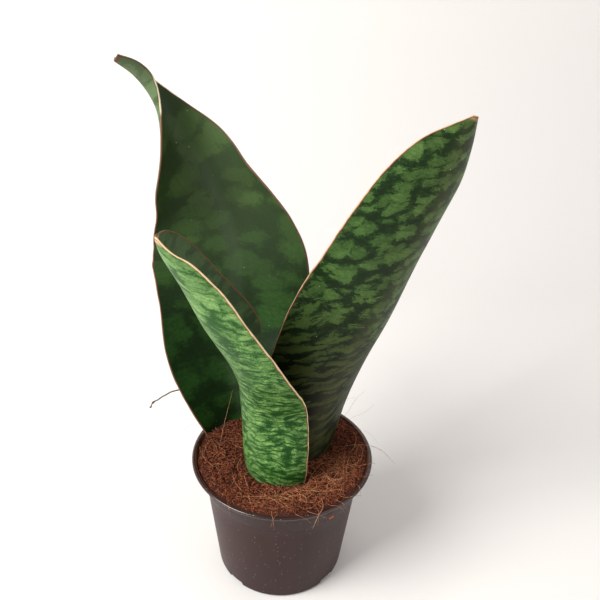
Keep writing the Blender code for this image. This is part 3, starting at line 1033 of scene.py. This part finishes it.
@dataclass
class LeafBlade:
    """One channelled blade, thick along the keel, with a bead along each thin margin."""

    name: str
    opening: tuple[float, float, float]
    stations: tuple[Station, ...]
    outer: WaxyLeaf
    inner: WaxyLeaf
    slot: str
    seed: float
    ripple: float = 0.25
    rows: int = 230
    keel_thickness: float = 3.4 * MM
    tip_thickness: float = 1.7 * MM
    margin_thickness: float = 1.0 * MM
    bead: tuple[float, ...] = (0.0, 0.25, 0.55, 0.95, 1.5, 2.3)
    columns: int = 44
    section_steps: int = 24

    def frames(self) -> list[Frame]:
        """Return the blade's sections, evenly shared along its stations."""
        last = len(self.stations) - 1
        values = [between(self.stations, last * row / self.rows) for row in range(self.rows + 1)]
        keel = [Vector((v[0] * MM, v[1] * MM, v[2] * MM + SOIL_LEVEL)) for v in values]
        made = []
        length = 0.0
        reach = max(1, self.rows // 36)
        for row, value in enumerate(values):
            along = (keel[min(row + reach, self.rows)] - keel[max(row - reach, 0)]).normalized()
            inward = Vector(self.opening)
            inward = (inward - inward.dot(along) * along).normalized()
            inward = Matrix.Rotation(math.radians(value[5]), 3, along) @ inward
            if row:
                length += (keel[row] - keel[row - 1]).length
            fold = math.radians(value[4])
            made.append(Frame(keel[row], along.cross(inward), inward, value[3] * MM, fold, length))
        return made

    def section(self, half_width: float, fold: float, side: float) -> tuple[float, float]:
        """Across and inward distance of a point of the blade.

        Args:
            half_width: Half the blade's width along its surface.
            fold: How far each half has turned at its margin.
            side: Place from margin to margin, -1 to 1.

        Returns:
            The two distances in metres.
        """
        across = inward = 0.0
        for step in range(self.section_steps):
            angle = fold * ((step + 0.5) / self.section_steps * abs(side)) ** 0.7
            across += math.cos(angle)
            inward += math.sin(angle)
        length = half_width * abs(side) / self.section_steps
        return math.copysign(across * length, side), inward * length

    def side_at(self, column: int, half_width: float) -> float:
        """Place of a column from margin to margin: close together at the beads, even between them.

        Args:
            column: 0 to the number of columns.
            half_width: The section's half width.

        Returns:
            -1 to 1.
        """
        count = len(self.bead)
        mirrored = min(column, self.columns - column)
        rim = min(self.bead[-1] * MM, 0.45 * half_width)
        if mirrored < count:
            reach = half_width - self.bead[mirrored] / self.bead[-1] * rim
        else:
            share = (mirrored - count + 1) / (self.columns / 2 - count + 1)
            reach = (half_width - rim) * (1 - share)
        return math.copysign(reach / half_width, column - self.columns / 2) if reach > 0 else 0.0

    def thickness(self, along: float, side: float, edge: float) -> float:
        """Blade thickness: full at the keel, thin towards the margin, with a round bead on it.

        Args:
            along: Share of the blade's length.
            side: Place from margin to margin.
            edge: Distance from the margin in metres.

        Returns:
            Thickness in metres.
        """
        full = self.keel_thickness + (self.tip_thickness - self.keel_thickness) * along
        plain = self.margin_thickness + (full - self.margin_thickness) * (1 - side * side)
        radius = 0.6 * MM
        if edge >= radius:
            swell = 0.2 * MM * max(0.0, 1 - (edge - radius) / (1.2 * MM))
            return max(plain, self.margin_thickness + swell)
        return max(0.28 * MM, 2 * radius * math.sqrt(max(0.0, 1 - (1 - edge / radius) ** 2)))

    def surface(self) -> bpy.types.Mesh:
        """Return the blade's open middle surface with its map, edge distance and thickness share."""
        frames = self.frames()
        work = bmesh.new()
        bmesh.ops.create_grid(work, x_segments=self.rows, y_segments=self.columns, size=1.0)
        thick = work.verts.layers.deform.verify()
        edge_mm = work.verts.layers.float.new("edge_mm")
        tip_mm = work.verts.layers.float.new("tip_mm")
        face_map = work.loops.layers.uv.new("blade")
        where = {}
        for vert in work.verts:
            row = round((vert.co.x + 1) / 2 * self.rows)
            column = round((vert.co.y + 1) / 2 * self.columns)
            keel, across, inward, half_width, fold, length = frames[row]
            side = self.side_at(column, half_width)
            wave = self.wave(length, side)
            out, up = self.section(half_width * (1 + wave), fold, side)
            edge = half_width * (1 - abs(side))
            tip = frames[-1].length - length
            vert.co = keel + across * out + inward * (up + self.swell(length, side * half_width))
            vert[edge_mm] = min(edge, tip + 0.2 * MM) / MM
            vert[tip_mm] = tip / MM
            depth = self.thickness(row / self.rows, side, min(edge, tip + 0.1 * MM))
            vert[thick][0] = depth / self.keel_thickness
            where[vert] = (side * half_width / MM / MAP_UNIT, length / MM / MAP_UNIT)
        for face in work.faces:
            for loop in face.loops:
                loop[face_map].uv = where[loop.vert]
        seat = CROWN_TOP + 0.3 * MM
        bmesh.ops.bisect_plane(
            work,
            geom=list(work.verts) + list(work.edges) + list(work.faces),
            plane_co=(0, 0, seat),
            plane_no=(0, 0, 1),
            clear_inner=True,
        )
        bmesh.ops.recalc_face_normals(work, faces=list(work.faces))
        self.face_outwards(work, frames)
        return mesh_from(work, self.name)

    def wave(self, length: float, side: float) -> float:
        """The margin's slight waviness.

        Args:
            length: Length along the blade.
            side: Place from margin to margin, -1 to 1.

        Returns:
            A share of the half width.
        """
        at = Vector((length / MM / 9.0, math.copysign(2.0, side), self.seed))
        return self.ripple * 0.03 * noise.noise(at) * abs(side) ** 6

    def swell(self, length: float, out: float) -> float:
        """The blade's soft hollows and swellings.

        Args:
            length: Length along the blade.
            out: Distance from the keel.

        Returns:
            How far the surface moves inward, in metres.
        """
        at = Vector((length / MM / 34.0, out / MM / 22.0, self.seed * 3.1))
        return 0.45 * MM * noise.noise(at)

    def face_outwards(self, work: bmesh.types.BMesh, frames: Sequence[Frame]) -> None:
        """Turn the surface so that its normals point out of the channel.

        Args:
            work: The open surface.
            frames: The blade's sections.
        """
        middle = frames[len(frames) // 2]
        work.faces.ensure_lookup_table()
        near = min(work.faces, key=lambda f: (f.calc_center_median() - middle.keel).length)
        near.normal_update()
        if near.normal.dot(middle.inward) > 0:
            bmesh.ops.reverse_faces(work, faces=list(work.faces))

    def build(self) -> bpy.types.Object:
        """Return the finished leaf."""
        finishes = [self.outer.build(), self.inner.build()]
        leaf = new_object(f"{self.name}_blade", self.surface(), finishes)
        leaf.vertex_groups.new(name="thickness")
        solid = leaf.modifiers.new("thickness", "SOLIDIFY")
        solid.thickness = self.keel_thickness
        solid.offset = 0.0
        solid.use_even_offset = False
        solid.vertex_group = "thickness"
        solid.material_offset = 1
        solid.material_offset_rim = 0
        applied(leaf)
        return settle(leaf, [self.name], 60.0)


# ---------------------------------------------------------------- the coir


class Line(NamedTuple):
    """One strand: its points in metres, its radius in metres and its taper at the ends."""

    points: list[Vector]
    radius: float
    taper: float


def strands(name: str, lines: Sequence[Line], finish: bpy.types.Material, sides: int = 0) -> bpy.types.Object:
    """Turn lines into one mesh of closed tapered strands.

    Args:
        name: Name of the object.
        lines: The strands.
        finish: Their material.
        sides: The curve's bevel resolution: 0 gives four sides.

    Returns:
        The mesh object.
    """
    curve = bpy.data.curves.new(name, "CURVE")
    curve.dimensions = "3D"
    curve.bevel_depth = MM
    curve.bevel_resolution = sides
    curve.use_fill_caps = True
    for points, radius, taper in lines:
        spline = curve.splines.new("POLY")
        spline.points.add(len(points) - 1)
        last = len(points) - 1
        for index, (point, place) in enumerate(zip(spline.points, points)):
            near_end = min(index, last - index) / max(1, last / 2)
            point.co = (*place, 1.0)
            point.radius = radius / MM * (1 - taper * (1 - near_end) ** 2)
    obj = bpy.data.objects.new(name, curve)
    bpy.context.scene.collection.objects.link(obj)
    bpy.context.view_layer.update()
    graph = bpy.context.evaluated_depsgraph_get()
    mesh = bpy.data.meshes.new_from_object(obj.evaluated_get(graph))
    bpy.data.objects.remove(obj, do_unlink=True)
    work = bmesh.new()
    work.from_mesh(mesh)
    bmesh.ops.remove_doubles(work, verts=list(work.verts), dist=0.0002 * MM)
    bmesh.ops.recalc_face_normals(work, faces=list(work.faces))
    mesh.materials.clear()
    return new_object(name, mesh_from(work, name), [finish])


def smooth_line(knots: Sequence[Sequence[float]], count: int) -> list[Vector]:
    """Points on a smooth curve through knots.

    Args:
        knots: Points in metres.
        count: How many points to give.

    Returns:
        The points.
    """
    last = len(knots) - 1
    return [Vector(between(knots, last * i / (count - 1))) for i in range(count)]


@dataclass
class CoirBed:
    """The coir that fills the pot: a lumpy bed, a few thousand scraps on it and fine hairs over them."""

    pot: NurseryPot
    blades: Sequence[bpy.types.Object]
    scraps: int = 3400
    hairs: int = 190
    hair_reach: float = 54.4 * MM
    rings: int = 64
    spokes: int = 220

    def __post_init__(self) -> None:
        """Index the leaves' surfaces, so that scraps and hairs stay out of them."""
        self.random = random.Random(SEED)
        points = [v.co for b in self.blades for v in b.data.vertices if v.co.z < SOIL_LEVEL + 45 * MM]
        self.tree = KDTree(len(points))
        for index, point in enumerate(points):
            self.tree.insert(point, index)
        self.tree.balance()

    def clear_of_leaves(self, point: Vector, gap: float) -> bool:
        """Tell whether a point keeps clear of every leaf.

        Args:
            point: The point.
            gap: The distance to keep.

        Returns:
            True where it does.
        """
        return self.tree.find(point)[2] > gap

    def height(self, x: float, y: float) -> float:
        """The bed's height at a place: crowned, lumpy and piled against the rim.

        Args:
            x: Metres to the right of the axis.
            y: Metres behind the axis.

        Returns:
            The height above the ground.
        """
        out = math.hypot(x, y) / self.pot.bore(SOIL_LEVEL)
        crown = 2.3 * MM * (1 - min(1.0, out) ** 2)
        at = Vector((x / MM, y / MM, 0.0))
        lumps = 1.5 * MM * noise.noise(at / 11.0) + 0.8 * MM * noise.noise(at / 3.4)
        back = 1.2 * MM * max(0.0, y / 57 / MM)
        facing = 0.85 + 0.15 * (0.6 * x - 0.8 * y) / max(MM, math.hypot(x, y))
        piled = 3.9 * MM * facing * max(0.0, min(1.0, (out - 0.55) / 0.4))
        return SOIL_LEVEL + crown + back + lumps + piled + 0.6 * MM

    def bed(self) -> bpy.types.Object:
        """Return the closed bed: lumpy on top, plain against the wall and the floor."""
        pot = self.pot
        gap = 0.3 * MM
        floor = pot.floor_rise + pot.floor_thickness + gap
        brim = pot.bore(SOIL_LEVEL) - gap
        under_collar = pot.height - pot.collar_height - 0.5 * MM
        section = [(brim * i / self.rings, SOIL_LEVEL) for i in range(self.rings + 1)]
        section += [(pot.bore(z) - gap, z) for z in (under_collar, 50 * MM, 30 * MM, 12 * MM)]
        section += [(pot.bore(floor) - 3 * MM, floor), (0.0, floor)]
        work = turned(section, self.spokes)
        for vert in work.verts:
            if vert.co.z > SOIL_LEVEL - 0.1 * MM:
                vert.co.z = self.height(vert.co.x, vert.co.y)
                out = vert.co.xy.length
                near = max(0.0, out / pot.bore(SOIL_LEVEL) - 0.9) / 0.1
                grown = (out + pot.flare * (vert.co.z - SOIL_LEVEL) * near) / max(out, MM)
                vert.co.x *= grown
                vert.co.y *= grown
        finish = CoirFibre("coir_bed", "#1d0b06", "#42211a", "#6b3b2b", 0.32).build()
        bed = new_object("coir_bed", mesh_from(work, "coir_bed"), [finish])
        return settle(bed, ["coir_substrate"])

    def spot(self, reach: float = 0.985) -> Vector:
        """A random place on the bed.

        Args:
            reach: Share of the pot's bore that it may lie in.

        Returns:
            The place.
        """
        out = math.sqrt(self.random.random()) * self.pot.bore(SOIL_LEVEL) * reach
        turn = self.random.uniform(0, 2 * math.pi)
        x, y = out * math.cos(turn), out * math.sin(turn)
        return Vector((x, y, self.height(x, y)))

    def scrap(self) -> Optional[Line]:
        """Return one curled scrap of husk, or none where a leaf stands."""
        start = self.spot(1.01)
        if not self.clear_of_leaves(start, 1.8 * MM):
            return None
        size = self.random.triangular(1.2, 5.0, 2.4) * MM
        heading = self.random.uniform(0, 2 * math.pi)
        curl = self.random.gauss(0, 0.9)
        tilt = self.random.gauss(0.15, 0.5)
        lift = self.random.uniform(-0.4, 1.5) * MM
        points = []
        place = start + Vector((0, 0, lift))
        for _ in range(4):
            points.append(place.copy())
            step = Vector((math.cos(heading), math.sin(heading), math.sin(tilt) * 0.8)) * size / 3
            place += step
            heading += curl * 0.5
            tilt += self.random.gauss(-0.25, 0.5)
        for point in points:
            limit = self.pot.bore(min(self.pot.height, max(SOIL_LEVEL, point.z))) - 0.4 * MM
            if math.hypot(point.x, point.y) > limit or not self.clear_of_leaves(point, 1.0 * MM):
                return None
        return Line(points, Strand.SCRAP.radius(self.random), 0.7)

    def hair(self) -> Optional[Line]:
        """Return one fine looping hair, more often at the front right, or none where a leaf stands."""
        start = self.spot(0.97)
        bias = 0.12 + 0.88 * max(0.0, (start.x - 0.8 * start.y) / (60 * MM))
        if self.random.random() > bias:
            return None
        length = self.random.triangular(8, 50, 16) * MM
        heading = self.random.uniform(0, 2 * math.pi)
        bend = self.random.gauss(0, 0.2)
        rise = self.random.uniform(0.2, 1.0)
        top = self.random.uniform(1.0, 4.5) * MM
        points = []
        place = start.copy()
        count = 12
        for index in range(count):
            share = index / (count - 1)
            arch = math.sin(math.pi * share) * top * rise
            inside = place.xy.length < self.pot.bore(SOIL_LEVEL)
            ground = self.height(place.x, place.y) if inside else self.pot.height
            points.append(Vector((place.x, place.y, ground + 0.5 * MM + arch)))
            place += Vector((math.cos(heading), math.sin(heading), 0)) * length / count
            heading += bend + self.random.gauss(0, 0.1)
        for point in points:
            if not self.clear_of_leaves(point, 0.9 * MM) or point.xy.length > self.hair_reach:
                return None
        return Line(points, Strand.HAIR.radius(self.random), 0.5)

    def gather(self, maker: Callable[[], Optional[Line]], count: int) -> list[Line]:
        """Call a maker until it has given enough lines.

        Args:
            maker: Gives a line or none.
            count: How many are wanted.

        Returns:
            The lines.
        """
        found: list[Line] = []
        while len(found) < count:
            line = maker()
            if line:
                found.append(line)
        return found

    def build(self) -> list[bpy.types.Object]:
        """Return the bed, its scraps and its hairs."""
        scrap = CoirFibre("coir_scrap", "#33130b", "#733b28", "#a9643f", 0.52).build()
        pale = CoirFibre("coir_hair", "#8a4e31", "#b67a52", "#d3a479", 1.2).build()
        layers = (
            ("coir_scraps_lower", self.scrap, self.scraps, scrap, "coir"),
            ("coir_scraps_upper", self.scrap, self.scraps, scrap, "coir"),
            ("coir_hairs", self.hair, self.hairs, pale, "fibre"),
        )
        pieces = [self.bed()]
        for name, maker, count, finish, slot in layers:
            pieces.append(settle(strands(name, self.gather(maker, count), finish)))
        return pieces


@dataclass
class LoosePieces:
    """The dry stalk, the long strands that stand clear of the coir and the chip on the collar."""

    pot: NurseryPot

    def over_rim(self, heading: float, out: float, above: float) -> Vector:
        """A point past the rim.

        Args:
            heading: Degrees round the axis.
            out: Millimetres out from the rim.
            above: Millimetres above the pot's top.

        Returns:
            The point in metres.
        """
        turn = math.radians(heading)
        reach = self.pot.rim_radius + out * MM
        return Vector((reach * math.cos(turn), reach * math.sin(turn), self.pot.height + above * MM))

    @staticmethod
    def on_soil(x: float, y: float, above: float) -> Vector:
        """A point over the soil.

        Args:
            x: Millimetres to the right of the axis.
            y: Millimetres behind the axis.
            above: Millimetres above the soil.

        Returns:
            The point in metres.
        """
        return Vector((x * MM, y * MM, SOIL_LEVEL + above * MM))

    def knots(self, soil: Knots = (), rim: Knots = ()) -> list[Vector]:
        """Place a strand's knots.

        Args:
            soil: Knots on the soil, as on_soil reads them.
            rim: Knots past the rim, as over_rim reads them.

        Returns:
            The knots in metres, those on the soil first.
        """
        return [self.on_soil(*knot) for knot in soil] + [self.over_rim(*knot) for knot in rim]

    def stalk(self) -> bpy.types.Object:
        """Return the dead stalk: thin, kinked, with a swollen joint and a frayed end."""
        run = self.knots([(-30, 43, 3)], [(127, -5, 8), (151, 22, 19), (160, 38, 12), (161, 42, 6)])
        points = smooth_line(run, 26)
        rng = random.Random(SEED + 1)
        points = [p + Vector([rng.gauss(0, 0.12) * MM for _ in range(3)]) for p in points]
        lines = [Line(points, 0.5 * MM, 0.35)]
        lines.append(Line(points[19:22], 0.9 * MM, 0.5))
        lines.append(Line(points[23:26], 0.7 * MM, 0.4))
        finish = PlantSkin("dry_stalk_bark", "#2c1f1a", "#6d5a4c", 0.75)
        return settle(strands("dry_stalk_stem", lines, finish.build(), 2), ["dry_stalk"])

    def long_strands(self) -> list[bpy.types.Object]:
        """Return the three long strands, each for its CAD node."""
        pale = CoirFibre("coir_long_strand", "#8f5c3c", "#bb8760", "#d6ae86", 1.6).build()
        runs = (
            ("upright", 0.09, [(-43, 2, 3), (-40, 4, 20), (-33, 3, 52)], []),
            ("right", 0.15, [(34, 8, 3.5)], [(6, -6, 2.5), (2, 6, 1.5), (-4, 16, -4)]),
            ("front", 0.15, [(24, -34, 3.5)], [(-62, -4, 1.6), (-68, 2, 0.8), (-72, 5, -5)]),
        )
        made = []
        for side, radius, soil, rim in runs:
            node = f"coir_strand_{side}"
            line = Line(smooth_line(self.knots(soil, rim), 24), radius * MM, 0.6)
            made.append(settle(strands(f"{node}_hair", [line], pale, 1), [node]))
        return made

    def rim_fibres(self) -> bpy.types.Object:
        """Return the short fibres that hang over the lip at the front and right."""
        rng = random.Random(SEED + 2)
        falls = (
            (-122, 5, 4), (-94, 2, 7), (-91, -3, 5), (-80, 8, 3), (-72, 9, 2), (-66, -2, 6),
            (-58, 8, 6), (-52, 3, 4), (-46, 9, 1), (-33, -4, 3), (-24, 6, 1), (-12, 5, 2),
        )
        lines = []
        for heading, swing, fall in falls:
            run = [(heading, -11, -2.4), (heading, -2.5, 0.5 + rng.random()), (heading + swing / 2, 0.5, 0.6)]
            run.append((heading + swing, 2 + 2 * rng.random(), -fall))
            lines.append(Line(smooth_line(self.knots(rim=run), 16), Strand.RIM.radius(rng), 0.6))
        finish = CoirFibre("coir_rim_fibre", "#7c4630", "#a9714e", "#c99b78", 1.6).build()
        return settle(strands("coir_rim_fibres", lines, finish))

    def wisps(self) -> bpy.types.Object:
        """Return the finest hairs: off the dry stalk to the pot, and beside the right leaf's foot."""
        off_the_stalk = (
            ((152, -6, 3), (156, 10, 1), (160, 30, -2), (161, 38, 11)),
            ((146, -6, 3), (150, 6, 9), (155, 18, 6), (159, 30, 13)),
            ((160, -5, 2), (163, 6, 4), (168, 13, -2), (170, 12, -12)),
            ((137, -6, 4), (141, 4, 14), (143, 10, 17)),
        )
        by_the_leaf = (
            ((36, 33, 2), (44, 34, 12), (50, 33, 26), (56, 31, 36)),
            ((39, 30, 2), (47, 33, 9), (57, 33, 15), (63, 31, 24)),
            ((34, 36, 2), (37, 37, 14), (42, 35, 24), (51, 34, 27)),
            ((41, 26, 2), (50, 24, 8), (60, 20, 7), (66, 16, 2)),
        )
        runs = [self.knots(rim=run) for run in off_the_stalk] + [self.knots(soil=run) for run in by_the_leaf]
        lines = [Line(smooth_line(run, 20), 0.07 * MM, 0.5) for run in runs]
        finish = CoirFibre("coir_wisp", "#8a6a55", "#a98a72", "#c9ae96", 1.6).build()
        return settle(strands("coir_wisps", lines, finish))

    def chip(self) -> bpy.types.Object:
        """Return the husk chip on the collar: a torn flake."""
        low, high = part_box("coir_chip")
        middle = (low + high) / 2
        turn = Matrix.Rotation(math.radians(-56.0), 4, "Z") @ Matrix.Rotation(0.2, 4, "X")
        work = bmesh.new()
        bmesh.ops.create_icosphere(work, subdivisions=3, radius=1.0)
        for vert in work.verts:
            rough = 1 + 0.3 * noise.noise(vert.co * 1.7) + 0.12 * noise.noise(vert.co * 5.0)
            vert.co = Vector((vert.co.x * 0.5, vert.co.y * 1.75, vert.co.z * 0.95)) * rough * MM
        bmesh.ops.transform(work, matrix=Matrix.Translation(middle) @ turn, verts=list(work.verts))
        finish = CoirFibre("coir_chip_flake", "#8a3f24", "#b35a38", "#c97a52", 0.2, 0.7)
        chip = new_object("coir_chip_flake", mesh_from(work, "coir_chip_flake"), [finish.build()])
        return settle(chip, ["coir_chip"])

    def build(self) -> list[bpy.types.Object]:
        """Return every loose piece."""
        return [self.stalk(), *self.long_strands(), self.rim_fibres(), self.wisps(), self.chip()]


@dataclass
class RootStock:
    """The crown, its creeping stem and the roots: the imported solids, with a plant skin."""

    nodes: tuple[str, ...] = (
        "rhizome",
        "root_front",
        "root_front_right",
        "root_back",
        "root_back_left",
        "root_left",
    )

    def dress(self) -> None:
        """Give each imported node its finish; fleshy orange-tan, as snake plant roots are."""
        skin = PlantSkin("fleshy_root_skin", "#a8683a", "#d9a063", 0.6).build()
        for name in self.nodes:
            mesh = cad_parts[name].data
            mesh.materials.clear()
            mesh.materials.append(skin)


# ---------------------------------------------------------------- the studio


@dataclass
class Studio:
    """A plain pale sweep, soft light from the left and the camera."""

    eye: tuple[float, float, float] = (0.008, -0.316, 0.358)
    pitch: float = 26.4
    roll: float = 2.1
    lens: float = 36.0

    def camera(self) -> None:
        """Add the camera; its half angle has a tangent of one half."""
        data = bpy.data.cameras.new("camera")
        data.lens = self.lens
        data.sensor_width = 36.0
        data.clip_start = 0.01
        obj = bpy.data.objects.new("camera", data)
        bpy.context.scene.collection.objects.link(obj)
        tilt = Matrix.Rotation(math.radians(90 - self.pitch), 4, "X")
        roll = Matrix.Rotation(math.radians(self.roll), 4, "Z")
        obj.matrix_world = Matrix.Translation(self.eye) @ tilt @ roll
        bpy.context.scene.camera = obj

    def sweep(self) -> None:
        """Add the floor that curves up into a pale wall."""
        work = bmesh.new()
        side = 1.6
        run = [(-1.6, 0.0), (0.45, 0.0)]
        turns = [math.pi / 24 * i for i in range(1, 13)]
        run += [(0.45 + 0.3 * math.sin(a), 0.3 - 0.3 * math.cos(a)) for a in turns]
        run += [(0.75, 1.6)]
        ring = [work.verts.new((-side, y, z)) for y, z in run]
        edges = [work.edges.new(pair) for pair in zip(ring, ring[1:])]
        made = bmesh.ops.extrude_edge_only(work, edges=edges)
        moved = [v for v in made["geom"] if isinstance(v, bmesh.types.BMVert)]
        bmesh.ops.translate(work, vec=(2 * side, 0, 0), verts=moved)
        finish = Painter("studio_paper").finish({"Base Color": linear("#eceae8"), "Roughness": 0.9})
        floor = new_object("studio_floor", mesh_from(work, "studio_floor"), [finish])
        floor.data.shade_smooth()

    def area(self, name: str, place: Sequence[float], size: float, power: float, colour: str) -> None:
        """Add one soft light aimed at the leaves.

        Args:
            name: Its name.
            place: Where it stands, in metres.
            size: Side of its square, in metres.
            power: Watts.
            colour: sRGB hex.
        """
        data = bpy.data.lights.new(name, "AREA")
        data.size = size
        data.energy = power
        data.color = linear(colour)[:3]
        obj = bpy.data.objects.new(name, data)
        bpy.context.scene.collection.objects.link(obj)
        aim = Vector((0.0, 0.0, 0.14)) - Vector(place)
        obj.matrix_world = Matrix.Translation(place) @ aim.to_track_quat("-Z", "Y").to_matrix().to_4x4()

    def build(self) -> None:
        """Set up the studio."""
        self.camera()
        self.sweep()
        self.area("window", (-0.95, -0.55, 1.0), 0.8, 27.0, "#fffdf8")
        self.area("room", (1.1, -0.3, 0.9), 1.2, 4.5, "#fff4ea")
        world = bpy.data.worlds.new("soft_room")
        bpy.context.scene.world = world
        world.use_nodes = True
        back = world.node_tree.nodes["Background"]
        back.inputs["Color"].default_value = linear("#f2f3f7")
        back.inputs["Strength"].default_value = 0.4
        bpy.context.scene.view_settings.view_transform = "Standard"


# ---------------------------------------------------------------- the plant

LEAF_BACK = (
    Station(-3, 22, -48, 15, 70, 0),
    Station(-27, 37, 2, 34, 58, 12),
    Station(-39, 48, 52, 46, 38, 7),
    Station(-38, 55, 91, 51, 26, 5),
    Station(-38, 58, 124, 54, 30, -4),
    Station(-47, 62, 156, 46, 38, -7),
    Station(-58, 58, 179, 35, 42, 0),
    Station(-71, 53, 202, 22, 50, 41),
    Station(-81, 50, 221, 12, 61, 77),
    Station(-90, 44, 236, 8, 79, 131),
    Station(-100, 40, 244, 4, 77, 132),
)
LEAF_RIGHT = (
    Station(7, 3, -46, 14, 75, -55),
    Station(19, -2, -4, 26, 68, -56),
    Station(25, 3, 40, 41, 60, -54),
    Station(42, 7, 81, 49, 57, -45),
    Station(61, 13, 117, 51, 56, -38),
    Station(75, 13, 152, 48, 53, -37),
    Station(85, 12, 182, 39, 51, -41),
    Station(92, 14, 206, 24, 47, -44),
    Station(98, 13, 225, 2, 41, -44),
)
LEAF_FRONT = (
    Station(-3, -4, -47, 13, 80, 0),
    Station(-14, -23, -1, 31, 57, 6),
    Station(-20, -17, 45, 38, 62, 0),
    Station(-29, -20, 83, 42, 65, -27),
    Station(-45, -25, 115, 38, 64, -29),
    Station(-56, -27, 140, 31, 58, -26),
    Station(-63, -32, 158, 20, 52, -21),
    Station(-65, -36, 169, 2, 40, -25),
)


def leaf_set() -> list[LeafBlade]:
    """Return the three leaves with their finishes."""
    thin = Margin("#7a5a44", "#4b2c1f", 0.35, 0.7, (288, 302))
    fine = Margin("#c9a884", "#6b3526", 0.5, 0.95)
    cream = Margin("#705c46", "#7c4127", 0.36, 0.75, other_lip="#e6cca0")
    deep = WaxyLeaf(
        "leaf_skin_deep", "#12260c", "#1a3812", "#284c1a", "#345c24", "#566350",
        Patches(24, 15, 0.46, 0.4, 13), Patches(24, 11, 0.42, 0.4, 7), (60, 130),
        # the grey-green tint over the upper blade of this face is painted sheen from the window light
        contrast=0.72, cool=0.12, keel_sheen_and_bloom=0.2, tints=(Tint("#364828", "#4e6236", 120, 240, 0.8),),
        tear=0.3, soft=0.14, streak=0.07, roughness=0.48, specular=0.25, margin=thin,
    )
    bold = WaxyLeaf(
        "leaf_skin_bold", "#15270d", "#28451a", "#476430", "#5d783c", "#666848",
        Patches(9.5, 7, 0.43, 0.55, 41), Patches(14, 4, 0.41, 0.5, 3), (115, 170),
        contrast=0.97, chevron=(0.7, 0.4), cool=0.3, keel_sheen_and_bloom=0.25, skewed=True,
        tints=(Tint("#0f1006", "#404320", 185, 100, 0.97),), soft=0.08, tear=0.5, crumb=(1.7, 0.8),
        specular=0.24, foot_streaks=0.3, streak=0.08, callus="#a98a66", margin=fine,
    )
    bright = WaxyLeaf(
        "leaf_skin_bright", "#183f12", "#2e6225", "#4e7d39", "#90b36a", "#7d9468",
        Patches(12, 4.2, 0.52, 0.5, 77), Patches(7.5, 2.2, 0.46, 0.65, 5), (110, 185),
        contrast=0.88, chevron=(0.12, 0.6), keel_sheen_and_bloom=0.1, tear=0.8, crumb=(1.4, 0.6), soft=0.1,
        tints=(Tint("#2f5c22", "#7ea464", 120, 220, 0.6),), specular=0.22, callus="#d9a890", margin=cream,
    )
    back_outer = WaxyLeaf(
        "leaf_skin_back", "#26401c", "#35562a", "#4c7038", "#62854c", "#6a7358",
        Patches(12, 7, 0.45, 0.5, 5), Patches(20, 5, 0.38, 0.5, 9), (100, 200),
        contrast=0.8, cool=0.3, keel_sheen_and_bloom=0.3, tints=(Tint("#46583a", "#627452", 225, 285, 0.8),),
        soft=0.08, callus="#5d4636", margin=thin,
    )
    bold_inner = WaxyLeaf(
        "leaf_skin_bold_inner", "#172a12", "#213e1a", "#31521f", "#3f6430", "#4c5c48",
        Patches(16, 10, 0.44, 0.5, 19), Patches(22, 6, 0.4, 0.5, 23), (70, 150),
        contrast=0.8, cool=0.4, streak=0.08, callus="#a98a66", margin=fine,
    )
    bright_inner = WaxyLeaf(
        "leaf_skin_bright_inner", "#2c4424", "#38562c", "#486838", "#5a7846", "#5a6b4c",
        Patches(14, 6, 0.44, 0.5, 29), Patches(16, 4, 0.4, 0.5, 31), (80, 170),
        contrast=0.7, keel_sheen_and_bloom=0.2, tints=(Tint("#4a5f42", "#5f7650", 130, 220, 0.7),),
        callus="#d9a890", margin=cream,
    )
    return [
        LeafBlade("leaf_back", (0.0, -1.0, 0.0), LEAF_BACK, back_outer, deep, "leaf_dark", 1.3),
        LeafBlade("leaf_right", (-1.0, 0.2, 0.0), LEAF_RIGHT, bold, bold_inner, "leaf_mottled", 4.7),
        LeafBlade("leaf_front", (0.7, 0.7, 0.2), LEAF_FRONT, bright, bright_inner, "leaf_bright", 9.1, 0.6),
    ]


def main() -> None:
    """Build the looks in order."""
    logging.basicConfig(level=logging.INFO, format="%(message)s")
    Studio().build()
    pot = NurseryPot()
    made = [pot.build()]
    blades = [leaf.build() for leaf in leaf_set()]
    made += blades
    made += CoirBed(pot, blades).build()
    made += LoosePieces(pot).build()
    RootStock().dress()
    for piece in made:
        LOG.info("%s: %d faces", piece.name, len(piece.data.polygons))


if __name__ == "__main__":
    main()
